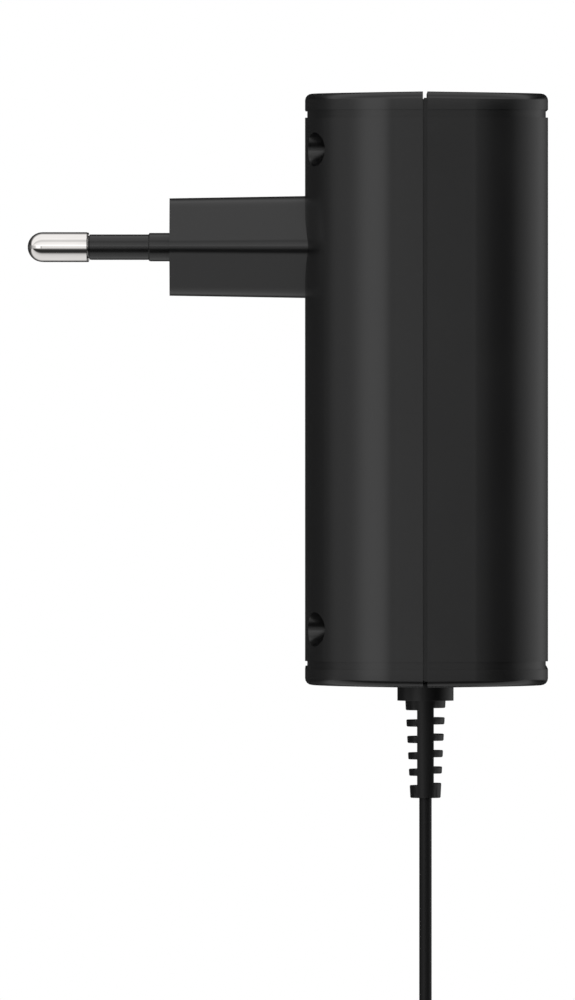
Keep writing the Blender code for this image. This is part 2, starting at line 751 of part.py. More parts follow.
def lying(name, radius, length, material):
    """A round part that lies on the board along Y, its ends eased."""
    y, z = places[name]
    x = BOARD_REAR_X + GAP + radius
    turn = Matrix.Translation((x, y, z)) @ Matrix.Rotation(math.pi / 2, 4, "X")
    ease = radius * CAN_CRIMP_SHARE * 2
    rod(name, radius, -length / 2, length / 2, parts, material, turn, CAN_STEPS, ease)


def choke(name, material):
    """A coil on a round core that stands on the board."""
    foot = BOARD_REAR_X + GAP
    top = foot + CHOKE_LENGTH
    turn = along_x(*places[name])
    rod(name, CHOKE_RADIUS, foot, top, parts, material, turn, CAN_STEPS, CHOKE_EASE)


def transformer(core_material, winding_material, base_material):
    """A ferrite core with a wound bobbin on its middle limb, on a base plate with its pins."""
    y, z = places["transformer"]
    depth = CORE_DEPTH + 2 * WINDING_OVERHANG
    base_size = (TRANSFORMER_BASE, CORE_WIDTH, depth)
    block("transformer_base", base_size, base_material, group="transformer")
    foot = BOARD_REAR_X + TRANSFORMER_BASE + 2 * GAP
    height = 2 * CORE_YOKE + 2 * CORE_WINDOW + CORE_LIMB
    middle = foot + height / 2
    core = box(
        "transformer_core",
        (foot, y - CORE_WIDTH / 2, z - CORE_DEPTH / 2),
        (foot + height, y + CORE_WIDTH / 2, z + CORE_DEPTH / 2),
        parts,
        core_material,
    )
    half_window = CORE_WIDTH / 2 - CORE_LIMB
    for i, side in enumerate((-1, 1)):
        near = middle + side * CORE_LIMB / 2
        far = near + side * CORE_WINDOW
        low = (min(near, far), y - half_window, z - CORE_DEPTH)
        high = (max(near, far), y + half_window, z + CORE_DEPTH)
        cut(core, box(f"core_window_{i}", low, high, cutters))
    half_height = CORE_LIMB / 2 + CORE_WINDOW - GAP
    winding = box(
        "transformer_winding",
        (middle - half_height, y - half_window + GAP, z - depth / 2),
        (middle + half_height, y + half_window - GAP, z + depth / 2),
        parts,
        winding_material,
        WINDING_BEVEL,
    )
    limb = box(
        "winding_bore",
        (middle - CORE_LIMB / 2 - GAP, y - CORE_WIDTH, z - CORE_DEPTH / 2 - GAP),
        (middle + CORE_LIMB / 2 + GAP, y + CORE_WIDTH, z + CORE_DEPTH / 2 + GAP),
        cutters,
    )
    cut(winding, limb)


def transistor(material, metal):
    """The switching transistor on its three legs, with a plate behind it that takes its heat."""
    y, z = places["switching_transistor"]
    z += (HEAT_SINK_THICKNESS + GAP) / 2
    foot = BOARD_REAR_X + GAP
    width, depth = TRANSISTOR_WIDTH, TRANSISTOR_DEPTH
    body_x = foot + TRANSISTOR_LEGS
    body = box(
        "switching_transistor",
        (body_x, y - width / 2, z - depth / 2),
        (body_x + TRANSISTOR_HEIGHT, y + width / 2, z + depth / 2),
        parts,
        material,
    )
    for i in (-1, 0, 1):
        leg_y = y + i * width / 4
        half = LEAD_RADIUS / 2
        leg = box(
            f"leg_{i + 1}",
            (foot, leg_y - half, z - half),
            (body_x + half, leg_y + half, z + half),
            cutters,
        )
        cut(body, leg, "UNION")
    near_z = z - depth / 2 - GAP
    box(
        "heat_sink",
        (foot, y - width / 2, near_z - HEAT_SINK_THICKNESS),
        (body_x + TRANSISTOR_HEIGHT, y + width / 2, near_z),
        parts,
        metal,
    )


def wire(name, start, end, start_way, end_way, material):
    """A round lead that leaves start and reaches end in these directions."""
    start, end = Vector(start), Vector(end)
    reach = (end - start).length / 3
    near = start + Vector(start_way).normalized() * reach
    far = end - Vector(end_way).normalized() * reach
    curve = bpy.data.curves.new(name, "CURVE")
    curve.dimensions = "3D"
    curve.bevel_depth = LEAD_RADIUS
    curve.bevel_resolution = 1
    curve.use_fill_caps = True
    line = curve.splines.new("POLY")
    line.points.add(WIRE_STEPS)
    for i, point in enumerate(line.points):
        t = i / WIRE_STEPS
        u = 1 - t
        place = u**3 * start + 3 * u * u * t * near + 3 * u * t * t * far + t**3 * end
        point.co = (*place, 1.0)
    put(name, curve, parts, material)


def leads(live_material, neutral_material, plus_material, minus_material):
    """Two leads from the pins to the board, and two from the board to the cord."""
    mains = {"left": live_material, "right": neutral_material}
    for ending, y, lean in pin_sides():
        tail = along_x(y, 0.0, lean) @ Vector((0.0, 0.0, PIN_TAIL + GAP))
        board_y = y + math.copysign(MAINS_LEAD_SHIFT, y)
        board = (BOARD_X - GAP, board_y, MAINS_LEAD_SHIFT)
        wire(f"mains_lead_{ending}", tail, board, (1, 0, 0), (1, 0, 0), mains[ending])
    low = {"plus": (1, plus_material), "minus": (-1, minus_material)}
    for ending, (side, material) in low.items():
        pad_z = BOARD_BOTTOM_Z + OUTPUT_LEAD_RISE
        pad = (BOARD_REAR_X + GAP, side * OUTPUT_LEAD_SPACING, pad_z)
        flange_z = RELIEF_FLANGE_Z + RELIEF_FLANGE_THICKNESS + GAP
        relief = (CORD_X, side * CORD_WIDTH / 4, flange_z)
        wire(f"output_lead_{ending}", pad, relief, (1, 0, 0), (0, 0, -1), material)


def board_parts(black, blue, yellow, can_sleeve, ceramic, copper, metal, ferrite, tape):
    """What the board carries, from the mains side at the top to the output side at the bottom."""
    lying("fusible_resistor", RESISTOR_RADIUS, RESISTOR_LENGTH, blue)
    choke("input_choke", copper)
    block("x_capacitor", X_CAPACITOR_SIZE, yellow)
    block("bridge_rectifier", BRIDGE_SIZE, black)
    transistor(black, metal)
    transformer(ferrite, tape, black)
    block("control_chip", CHIP_SIZE, black, CHIP_BEVEL)
    block("optocoupler", OPTOCOUPLER_SIZE, black)
    lying("output_diode", DIODE_RADIUS, DIODE_LENGTH, black)
    block("y_capacitor", Y_CAPACITOR_SIZE, ceramic, Y_CAPACITOR_BEVEL)
    choke("output_choke", copper)
    for ending in ("left", "right"):
        can(f"bulk_capacitor_{ending}", BULK_CAN_RADIUS, BULK_CAN_LENGTH, can_sleeve)
        can(f"output_capacitor_{ending}", OUTPUT_CAN_RADIUS, OUTPUT_CAN_LENGTH, can_sleeve)


def ellipse(half_x, half_y, z):
    """A level oval round the cord's axis."""
    points = []
    for i in range(ROUND_STEPS):
        angle = 2 * math.pi * i / ROUND_STEPS
        points.append((CORD_X + half_x * math.cos(angle), half_y * math.sin(angle), z))
    return points


def strain_relief(material):
    """A collar clamped between the shells, with a tapered oval sleeve slotted from both sides."""
    flange_top = RELIEF_FLANGE_Z + RELIEF_FLANGE_THICKNESS
    profile = [
        (0.0, flange_top),
        (RELIEF_FLANGE_RADIUS, flange_top),
        (RELIEF_FLANGE_RADIUS, RELIEF_FLANGE_Z),
        (RELIEF_NECK_RADIUS, RELIEF_FLANGE_Z),
        (RELIEF_NECK_RADIUS, RELIEF_COLLAR_TOP_Z),
        (RELIEF_COLLAR_RADIUS, RELIEF_COLLAR_TOP_Z),
        (RELIEF_COLLAR_RADIUS, RELIEF_BODY_TOP_Z),
        (0.0, RELIEF_BODY_TOP_Z),
    ]
    relief = turned("strain_relief", profile, parts, material, down_at(CORD_X, 0.0))
    sunk = RELIEF_COLLAR_THICKNESS / 2
    widening = (RELIEF_TOP_HALF_X - RELIEF_END_HALF_X) / RELIEF_LENGTH
    sunk_half_x = RELIEF_TOP_HALF_X + widening * sunk
    outlines = [
        ellipse(half_x, half_x * RELIEF_HALF_Y_SHARE, z)
        for half_x, z in (
            (RELIEF_END_HALF_X, RELIEF_END_Z),
            (sunk_half_x, RELIEF_BODY_TOP_Z + sunk),
        )
    ]
    cut(relief, loft("relief_sleeve", outlines, cutters), "UNION")
    reach = 2 * RELIEF_TOP_HALF_X
    for side, stagger in ((-1, RELIEF_SLOT_STAGGER), (1, 0.0)):
        for i in range(RELIEF_SLOTS):
            top = RELIEF_BODY_TOP_Z - RELIEF_FIRST_SLOT - stagger - i * RELIEF_PITCH
            near = CORD_X + side * RELIEF_WEB / 2
            far = CORD_X + side * reach
            low = (min(near, far), -reach, top - RELIEF_SLOT)
            high = (max(near, far), reach, top)
            cut(relief, box(f"relief_slot_{side + 1}_{i}", low, high, cutters))


def cord_section():
    """The cord's flat, round-edged cross-section, as a guide for the cord's curves."""
    radius = CORD_THICKNESS / 2
    reach = CORD_WIDTH / 2 - radius
    curve = bpy.data.curves.new("cord_section", "CURVE")
    line = curve.splines.new("POLY")
    line.points.add(2 * CORD_SIDES - 1)
    for i, point in enumerate(line.points):
        side = 1 if i < CORD_SIDES else -1
        step = i % CORD_SIDES
        angle = math.pi * step / (CORD_SIDES - 1)
        x = -side * radius * math.cos(angle)
        y = side * (reach + radius * math.sin(angle))
        point.co = (x, y, 0.0, 1.0)
    line.use_cyclic_u = True
    return put("cord_section", curve, cutters)


def cord(name, route, section, material):
    """A stretch of the flat cord along these points."""
    curve = bpy.data.curves.new(name, "CURVE")
    curve.dimensions = "3D"
    curve.bevel_mode = "OBJECT"
    curve.bevel_object = section
    curve.use_fill_caps = True
    line = curve.splines.new("POLY")
    line.points.add(len(route) - 1)
    for point, place in zip(line.points, route):
        point.co = (*place, 1.0)
    put(name, curve, parts, material)


def hank_outline(y):
    """The hank's outer outline from the front: two round loops and the tied waist between them."""
    loop = LOOP_RADIUS + HANK_OUTSET
    waist = WAIST_RADIUS - HANK_OUTSET
    quarter = []
    for i in range(HANK_STEPS + 1):
        angle = WAIST_ANGLE * i / HANK_STEPS
        x = WAIST_HALF_GAP + WAIST_RADIUS - waist * math.cos(angle)
        quarter.append((x, WAIST_HALF_LENGTH + waist * math.sin(angle)))
    for i in range(1, HANK_STEPS + 1):
        angle = -WAIST_ANGLE + (WAIST_ANGLE + math.pi / 2) * i / HANK_STEPS
        quarter.append((loop * math.cos(angle), LOOP_CENTRE + loop * math.sin(angle)))
    half = quarter + [(-x, z) for x, z in reversed(quarter[:-1])]
    outline = half + [(x, -z) for x, z in reversed(half)]
    return [(CORD_X + x, y, HANK_CENTRE_Z + z) for x, z in outline]


def hank(material, tie_material):
    """The spare length of cord, folded into a hank, and the strap round its waist."""
    outlines = [hank_outline(-HANK_HALF_DEPTH), hank_outline(HANK_HALF_DEPTH)]
    turns = loft("cord_hank", outlines, parts, material)
    eye_radius = LOOP_RADIUS - CORD_THICKNESS / 2 - HANK_MARGIN
    reach = HANK_HALF_DEPTH + CORD_WIDTH
    for end, side in (("upper", 1), ("lower", -1)):
        z = HANK_CENTRE_Z + side * LOOP_CENTRE
        place = Matrix.Translation((CORD_X, 0.0, z)) @ Matrix.Rotation(math.pi / 2, 4, "X")
        eye = rod(f"{end}_eye", eye_radius, -reach, reach, cutters, None, place, 2 * ROUND_STEPS)
        across = Vector((CORD_THICKNESS / 2, CORD_WIDTH / 2, LOOP_RADIUS))
        middle = Vector((CORD_X, 0.0, z))
        cut(eye, box(f"{end}_stretch", middle - across, middle + across, cutters))
        cut(turns, eye)
    inner_x = WAIST_HALF_GAP + HANK_OUTSET + GAP
    inner_y = HANK_HALF_DEPTH + GAP
    outer = (inner_x + TIE_THICKNESS, inner_y + TIE_THICKNESS, TIE_HEIGHT / 2)
    inner = (inner_x, inner_y, TIE_HEIGHT)
    middle = Vector((CORD_X, 0.0, HANK_CENTRE_Z))
    low, high = middle - Vector(outer), middle + Vector(outer)
    tie = box("cord_tie", low, high, parts, tie_material, TIE_THICKNESS / 3)
    cut(tie, box("tie_room", middle - Vector(inner), middle + Vector(inner), cutters))


def output_plug(grip_material, metal, insulator_material):
    """The barrel plug: a moulded grip, a metal barrel and the insulated contact inside it."""
    place = down_at(CORD_X, 0.0)
    neck_end = GRIP_TOP_Z - GRIP_NECK_LENGTH
    grip_end = neck_end - GRIP_LENGTH
    ease = GRIP_RADIUS / 6
    profile = [
        (0.0, GRIP_TOP_Z),
        (GRIP_NECK_RADIUS - ease / 2, GRIP_TOP_Z),
        (GRIP_NECK_RADIUS, GRIP_TOP_Z - ease / 2),
        (GRIP_NECK_RADIUS + ease / 2, neck_end),
        (GRIP_RADIUS - ease, neck_end),
        (GRIP_RADIUS, neck_end - ease),
        (GRIP_RADIUS, grip_end + ease),
        (GRIP_RADIUS - ease, grip_end),
        (0.0, grip_end),
    ]
    turned("output_plug_grip", profile, parts, grip_material, place)
    flange_z = grip_end - GAP
    barrel_z = flange_z - BARREL_FLANGE_THICKNESS
    end_z = barrel_z - BARREL_LENGTH
    barrel = [
        (BARREL_BORE_RADIUS, flange_z),
        (BARREL_FLANGE_RADIUS, flange_z),
        (BARREL_FLANGE_RADIUS, barrel_z),
        (BARREL_RADIUS, barrel_z),
        (BARREL_RADIUS, end_z),
        (BARREL_BORE_RADIUS, end_z),
    ]
    turned("output_plug_barrel", barrel, parts, metal, place, ring=True)
    radius = BARREL_BORE_RADIUS - SLIDE_GAP
    low_z = end_z + BARREL_END_STEP
    tube(
        "output_plug_insulator",
        radius,
        CONTACT_BORE_RADIUS,
        low_z,
        flange_z,
        parts,
        insulator_material,
        place,
        CAN_STEPS,
    )


clear_scene()
parts = new_collection("power_adapter")
cutters = new_collection("cutters")

black = finish("black_plastic", (0.022, 0.022, 0.023), 0.38)
sleeve_black = finish("sleeve_plastic", (0.025, 0.025, 0.026), 0.42)
cord_black = finish("cord_plastic", (0.016, 0.016, 0.017), 0.45)
nickel = finish("nickel", (0.72, 0.70, 0.68), 0.22, 1.0)
steel = finish("steel", (0.45, 0.45, 0.46), 0.35, 1.0)
carrier_white = finish("carrier_plastic", (0.75, 0.75, 0.72), 0.5)
board_green = finish("board", (0.12, 0.30, 0.10), 0.5)
part_black = finish("moulded_package", (0.03, 0.03, 0.03), 0.5)
blue_coat = finish("blue_coating", (0.06, 0.16, 0.40), 0.4)
film_yellow = finish("film_case", (0.80, 0.62, 0.10), 0.4)
can_black = finish("can_sleeve", (0.03, 0.03, 0.06), 0.35)
ceramic_blue = finish("ceramic_coating", (0.05, 0.25, 0.55), 0.5)
copper = finish("enamelled_copper", (0.55, 0.22, 0.08), 0.35, 1.0)
aluminium = finish("aluminium", (0.75, 0.76, 0.77), 0.3, 1.0)
ferrite = finish("ferrite", (0.06, 0.06, 0.065), 0.6)
tape = finish("winding_tape", (0.85, 0.65, 0.08), 0.4)
brown = finish("brown_lead", (0.22, 0.08, 0.03), 0.45)
blue = finish("blue_lead", (0.05, 0.15, 0.60), 0.45)
red = finish("red_lead", (0.60, 0.03, 0.02), 0.45)
tie_black = finish("tie_strap", (0.02, 0.02, 0.02), 0.8)
contact_black = finish("contact_plastic", (0.03, 0.03, 0.03), 0.45)

places = board_places()
front_shell(black)
plug_block(black)
rear_shell(black)
screws(steel)
pins(nickel, sleeve_black, carrier_white)
circuit_board(board_green)
board_parts(
    part_black, blue_coat, film_yellow, can_black, ceramic_blue, copper, aluminium, ferrite, tape
)
leads(brown, blue, red, part_black)
strain_relief(cord_black)
section = cord_section()
cord("cord_lead", LEAD_ROUTE, section, cord_black)
cord("cord_tail", TAIL_ROUTE, section, cord_black)
hank(cord_black, tie_black)
output_plug(cord_black, nickel, contact_black)
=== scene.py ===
"""The looks of a wall-plug power adapter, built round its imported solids.

Metres, +Z up. The plug points along -X, the housing stands off along +X and the cord hangs down.
"""

import math

import bmesh
import bpy
from mathutils import Matrix, Vector


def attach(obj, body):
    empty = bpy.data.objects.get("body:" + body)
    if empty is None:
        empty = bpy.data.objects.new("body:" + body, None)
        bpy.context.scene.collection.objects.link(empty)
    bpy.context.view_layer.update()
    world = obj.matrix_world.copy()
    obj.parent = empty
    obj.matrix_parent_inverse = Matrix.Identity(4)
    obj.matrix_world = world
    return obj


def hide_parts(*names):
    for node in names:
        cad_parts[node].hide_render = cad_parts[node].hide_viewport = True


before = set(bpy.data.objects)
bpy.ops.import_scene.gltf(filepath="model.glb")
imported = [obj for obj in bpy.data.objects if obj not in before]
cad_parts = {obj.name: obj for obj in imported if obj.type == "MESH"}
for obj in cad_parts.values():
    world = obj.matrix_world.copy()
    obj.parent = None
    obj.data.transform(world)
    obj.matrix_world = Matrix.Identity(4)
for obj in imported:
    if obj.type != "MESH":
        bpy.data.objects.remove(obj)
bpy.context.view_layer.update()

# Camera
IMAGE_HEIGHT_PX = 1000
IMAGE_CENTRE_PX = (287.5, 500.0)
ORIGIN_PX = (169.1, 246.95)
PIXEL = 0.000134
LENS_MM = 950.0
SENSOR_MM = 36.0
CLIP_END = 100.0
FOCUS_Y = -0.020
EYE_X = 0.026
EYE_Z = -0.006

# Clearances and cutters
# A hair's breadth, for the smallest gaps and bevels
HAIR = 0.0001
FIT_GAP = 0.0002
# How far a cutter reaches above and below the housing
CUT_REACH = 0.1
MERGE_DISTANCE = 1e-7
# A cutter is turned a little so that none of its edges runs along one of the shell's
TOOL_TWIST = math.radians(2.0)

# Housing
FRONT_X = 0.0182
REAR_X = 0.0508
HOUSING_WIDTH = 0.054
TOP_Z = 0.0208
BOTTOM_Z = -0.0590
CENTRE_Z = (TOP_Z + BOTTOM_Z) / 2
FRONT_CORNER = 0.0128
REAR_CORNER = 0.010
EDGE_FILLET = 0.0009
DRAFT = math.radians(0.85)
WALL = 0.002
CORNER_STEPS = 22
FILLET_STEPS = 4
SEAM_X = 0.0343
SEAM_GROOVE_WIDTH = 0.0006
SEAM_GROOVE_DEPTH = 0.00085
SEAM_LINE_WIDTH = 0.00014
SEAM_LINE_DEPTH = 0.00016
TONGUE_LENGTH = 0.0018
FRONT_RIM_X = SEAM_X - SEAM_GROOVE_WIDTH / 2
REAR_RIM_X = SEAM_X + SEAM_GROOVE_WIDTH / 2
TONGUE_X = FRONT_RIM_X - TONGUE_LENGTH
REBATE_X = TONGUE_X - FIT_GAP
BAND_WIDTH = 0.0024
BAND_GROOVE_WIDTH = 0.00105
BAND_GROOVE_DEPTH = 0.0003
EXIT_RADIUS = 0.0027

# Screws
SCREW_HALF_SPACING_Y = 0.0197
SCREW_HALF_SPACING_Z = 0.03215
SCREW_RECESS_RADIUS = 0.0023
SCREW_HEAD_RADIUS = 0.0019
SCREW_HEAD_HEIGHT = 0.0015
# The head's dome, as (share of its radius, height)
SCREW_DOME = [(1.0, 0.0008), (0.93, 0.0012), (0.7, 0.00145), (0.35, 0.0015), (0.0, 0.0015)]
SCREW_LENGTH = 0.012
SCREW_SHANK_RADIUS = 0.0011
SCREW_POINT_RADIUS = 0.0006
SCREW_HOLE_RADIUS = 0.0012
SCREW_SEAT_X = 0.0273
BOSS_RADIUS = 0.0035
POST_RADIUS = 0.003
POST_START_X = 0.0321
PILOT_START_X = 0.027
PILOT_END_X = 0.0396
CROSS_LENGTH = 0.0021
CROSS_WIDTH = 0.00045
CROSS_DEPTH = 0.0009
CROSS_REACH = 0.002

# Plug and pins
NOSE_HALF_HEIGHT = 0.00685
NOSE_HALF_WIDTH = 0.01765
NOSE_FLAT_HALF_WIDTH = 0.01305
NOSE_RIDGE_FILLET = 0.002
NOSE_EDGE_FILLET = 0.003
NOSE_DRAFT = math.radians(0.97)
NOSE_END_X = 0.0215
NOSE_WALL = 0.002
NOSE_FACE_WALL = 0.003
NOSE_CORNER_STEPS = 8
PIN_SPACING = 0.0186
PIN_LENGTH = 0.0191
PIN_RADIUS = 0.002
PIN_METAL_LENGTH = 0.0082
PIN_METAL_X = PIN_METAL_LENGTH - PIN_LENGTH
PIN_TAIL_X = 0.014
PIN_CORE_RADIUS = 0.0013
PIN_HOLE_RADIUS = 0.002
PIN_TIP_STEPS = 12
PIN_LEAN = math.radians(1.6)
SLEEVE_RADIUS = 0.0017
SLEEVE_BORE_RADIUS = 0.0014
SLEEVE_LINER_RADIUS = 0.0015
SLEEVE_FOOT_X = 0.0027
SLEEVE_EASE = 0.00012
SLEEVE_HAIR = 0.00002
COLLAR_RADIUS = 0.0019
COLLAR_LENGTH = 0.0028
COLLAR_FILLET = 0.00003
COLLAR_FILLET_LENGTH = 0.00008
SHOULDER_GROOVE = 0.00013

# Strain relief
CORD_X = 0.0344
RELIEF_TOP_Z = BOTTOM_Z - HAIR
RELIEF_COLLAR_SEAT = 0.00025
RELIEF_COLLAR_RADIUS = 0.00379
RELIEF_COLLAR_THICKNESS = 0.0020
RELIEF_BODY_Z = RELIEF_TOP_Z - RELIEF_COLLAR_THICKNESS
RELIEF_LENGTH = 0.0131
RELIEF_END_Z = RELIEF_BODY_Z - RELIEF_LENGTH
RELIEF_TOP_HALF_X = 0.00272
RELIEF_END_HALF_X = 0.00204
RELIEF_HALF_Y_SHARE = 1.29
RELIEF_WEB = 0.00225
RELIEF_SLOT = 0.00127
RELIEF_PITCH = 0.00221
RELIEF_SLOTS = 5
RELIEF_FIRST_SLOT = 0.00098
RELIEF_STAGGER = 0.0003
RELIEF_EASE = 0.0001
RELIEF_EASE_REACH = 0.0004
RELIEF_STEPS = 72
RELIEF_NECK_RADIUS = 0.0026
RELIEF_FLANGE_RADIUS = 0.0038
RELIEF_FLANGE_THICKNESS = 0.0012
RELIEF_FLANGE_GAP = 0.0003

# Cord and its hank
CORD_THICKNESS = 0.00168
CORD_WIDTH = 0.0033
WIRE_STEPS = 10
WIRE_ARC = math.radians(148)
CORD_SHARP_ANGLE = math.radians(50)
HANK_CENTRE_Z = -0.14618
LOOP_RADIUS = 0.0099
LOOP_CENTRE = 0.02366
WAIST_RADIUS = 0.012
WAIST_HALF_LENGTH = 0.006
WAIST_HALF_GAP = 0.00095
LAYER_PITCH = 0.0017
COLUMN_PITCH = 0.0034
TURN_POINTS = 128
TIE_HEIGHT = 0.0075
TIE_THICKNESS = 0.0011
STRAP_THICKNESS = 0.0006
STRAP_BEND = 0.0012
STRAP_CLEARANCE = 0.0002
STRAP_EASE = 0.00015
STRAP_TAB_INSET = 0.0003
STRAP_CORNER_STEPS = 8

# Where the cord hangs free: given heights, straight down under its own weight
LEAD_Z = [-0.0736, -0.080, -0.088, -0.096, -0.1035, -0.110, -0.118, -0.126, -0.134, -0.139]
TAIL_Z = [-0.1534, -0.160, -0.168, -0.176, -0.185, -0.196]

# The hank's turns in order, as (column, layer), and where on each turn the cord moves to the next
HANK_SLOTS = [(-1, 0), (-2, 0), (-2, 1), (-1, 1), (1, 1), (2, 1), (2, 0), (1, 0)]
SHIFT_AT = [0.93, 0.85, 0.77, 0.655, 0.55, 0.46, 0.37]
SHIFT_HALF = 0.038
CROSSING_TURN = 3
CROSSING_HALF = 0.062
# The share of a turn left free at each end of the hank, where the lead and the tail join it
JOIN_SHARE = 0.035
JOIN_STEPS = 6

# Output plug
GRIP_TOP_Z = -0.19446
GRIP_NECK_LENGTH = 0.0085
GRIP_NECK_RADIUS = 0.0031
GRIP_RADIUS = 0.0048
GRIP_LENGTH = 0.021
GRIP_EASE = 0.0004
GRIP_FLUTES = 16
GRIP_FLUTE_DEPTH = 0.0004
GRIP_FLUTE_STEPS = 10
GRIP_NECK_FLARE = 0.0010
# The neck's mouth and the shoulder below the neck, as (distance down, radius)
GRIP_MOUTH = [(0.0, 0.0021), (0.0003, 0.0025)]
GRIP_SHOULDER = [(0.0, 0.0036), (0.0008, 0.0042), (0.0016, 0.0046), (0.0026, GRIP_RADIUS)]
# How the flutes grow from either end of the grip, as (distance, share of their depth)
GRIP_FLUTE_FADE = [(0.0040, 0.0), (0.0048, 0.6), (0.0056, 1.0)]
BARREL_RADIUS = 0.00275
BARREL_BORE_RADIUS = 0.0023
BARREL_LENGTH = 0.0095
BARREL_FLANGE_RADIUS = 0.0038
BARREL_FLANGE_THICKNESS = 0.0008
BARREL_EASE = 0.00015
BARREL_GAP = 0.0003

# Floor and lamp
FLOOR_Z = -0.2350
FLOOR_RADIUS = 0.30
FLOOR_SIDES = 96
FLOOR_RIM = (0.02, 0.14)
PAPER_LEVEL = 0.93
LAMP_SIZE = 0.5
LAMP_POWER = 1.2
LAMP_PLACE = (-0.15, -0.35, 0.75)
LAMP_AIM = (CORD_X, 0.0, -0.08)

scene = bpy.context.scene


def make_camera():
    """A long lens nearly level with the pins, so that one pin hides the other."""
    data = bpy.data.cameras.new("camera")
    data.lens = LENS_MM
    data.sensor_width = SENSOR_MM
    data.clip_end = CLIP_END
    obj = bpy.data.objects.new("camera", data)
    scene.collection.objects.link(obj)
    distance = LENS_MM / SENSOR_MM * IMAGE_HEIGHT_PX * PIXEL
    centre_x = (IMAGE_CENTRE_PX[0] - ORIGIN_PX[0]) * PIXEL
    centre_z = (ORIGIN_PX[1] - IMAGE_CENTRE_PX[1]) * PIXEL
    eye = Vector((EYE_X, FOCUS_Y - distance, EYE_Z))
    aim = Vector((centre_x, FOCUS_Y, centre_z)) - eye
    obj.location = eye
    obj.rotation_euler = aim.to_track_quat("-Z", "Y").to_euler()
    scene.camera = obj


# Shared helpers


def add_object(name, mesh, material=None):
    """Links a mesh to the scene as an object with one material."""
    obj = bpy.data.objects.new(name, mesh)
    scene.collection.objects.link(obj)
    if material:
        mesh.materials.clear()
        mesh.materials.append(material)
    return obj


def mesh_from(made, name):
    """A mesh from a bmesh, its doubles merged and its faces turned outwards."""
    bmesh.ops.remove_doubles(made, verts=made.verts, dist=MERGE_DISTANCE)
    bmesh.ops.recalc_face_normals(made, faces=made.faces)
    mesh = bpy.data.meshes.new(name)
    made.to_mesh(mesh)
    made.free()
    return mesh


def baked(obj):
    """Replaces an object's mesh by what its modifiers make of it."""
    graph = bpy.context.evaluated_depsgraph_get()
    mesh = bpy.data.meshes.new_from_object(obj.evaluated_get(graph), depsgraph=graph)
    obj.modifiers.clear()
    old = obj.data
    obj.data = mesh
    bpy.data.meshes.remove(old)
    return obj


def smoothed(obj, degrees=32.0):
    """Smooth shading where faces meet at a low angle, with flat faces kept flat."""
    obj.data.shade_smooth()
    obj.data.set_sharp_from_angle(angle=math.radians(degrees))
    weigh = obj.modifiers.new("weighted normals", "WEIGHTED_NORMAL")
    weigh.keep_sharp = True
    weigh.weight = 80
    return baked(obj)


def trimmed(obj, tools, operation="DIFFERENCE"):
    """Cuts or joins tools into obj and removes them."""
    for tool in tools:
        modifier = obj.modifiers.new(tool.name, "BOOLEAN")
        modifier.operation = operation
        modifier.object = tool
        baked(obj)
        bpy.data.objects.remove(tool)
    return obj


def skin(made, outlines):
    """Faces from each outline to the next, and over both ends, which are returned."""
    rings = [[made.verts.new(point) for point in outline] for outline in outlines]
    for lower, upper in zip(rings, rings[1:]):
        for i in range(len(lower)):
            j = (i + 1) % len(lower)
            made.faces.new((lower[i], lower[j], upper[j], upper[i]))
    return [made.faces.new(rings[0]), made.faces.new(rings[-1])]


def loft(name, outlines, material=None):
    """A solid through outlines that have the same number of points."""
    made = bmesh.new()
    skin(made, outlines)
    return add_object(name, mesh_from(made, name), material)


def turned(name, profile, turn, material=None, steps=64):
    """A profile of (radius, height) points turned about Z, then placed by turn."""
    made = bmesh.new()
    rings = []
    for radius, height in profile:
        if radius == 0.0:
            rings.append([made.verts.new(turn @ Vector((0.0, 0.0, height)))])
            continue
        ring = []
        for i in range(steps):
            angle = 2 * math.pi * i / steps
            point = Vector((radius * math.cos(angle), radius * math.sin(angle), height))
            ring.append(made.verts.new(turn @ point))
        rings.append(ring)
    pairs = list(zip(rings, rings[1:]))
    if profile[0][0] > 0.0 and profile[-1][0] > 0.0:
        pairs.append((rings[-1], rings[0]))
    for first, second in pairs:
        for i in range(steps):
            j = (i + 1) % steps
            corners = [first[i % len(first)], first[j % len(first)]]
            corners += [second[j % len(second)], second[i % len(second)]]
            made.faces.new(list(dict.fromkeys(corners)))
    return add_object(name, mesh_from(made, name), material)


def box(name, low, high, material=None, bevel=0.0):
    """A box between two corners, its edges rounded by bevel."""
    low, high = Vector(low), Vector(high)
    made = bmesh.new()
    place = Matrix.Translation((low + high) / 2) @ Matrix.Diagonal((*(high - low), 1.0))
    bmesh.ops.create_cube(made, size=1.0, matrix=place)
    if bevel:
        bmesh.ops.bevel(
            made, geom=made.edges[:], offset=bevel, segments=3, profile=0.5, affect="EDGES"
        )
    return add_object(name, mesh_from(made, name), material)


def along_x(y, z, lean=0.0):
    """Turns a piece made about Z so that its Z runs along +X through (y, z)."""
    swing = Matrix.Rotation(lean, 4, "Z") @ Matrix.Rotation(math.pi / 2, 4, "Y")
    return Matrix.Translation((0.0, y, z)) @ swing


def cord_line():
    """Turns a piece made about Z so that it stands round the cord."""
    return Matrix.Translation((CORD_X, 0.0, 0.0))


def rod(name, radius, bottom, top, turn, steps=48):
    """A plain round cutter or post."""
    profile = [(0.0, top), (radius, top), (radius, bottom), (0.0, bottom)]
    return turned(name, profile, turn, None, steps)


def smooth_step(low, high, value):
    """An easy rise from 0 at low to 1 at high."""
    share = min(max((value - low) / (high - low), 0.0), 1.0)
    return share * share * (3 - 2 * share)


def show(obj, *nodes):
    """Puts a finished piece on the one rigid body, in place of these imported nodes."""
    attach(obj, "root")
    if nodes:
        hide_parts(*nodes)
    return obj


# Shader node helpers


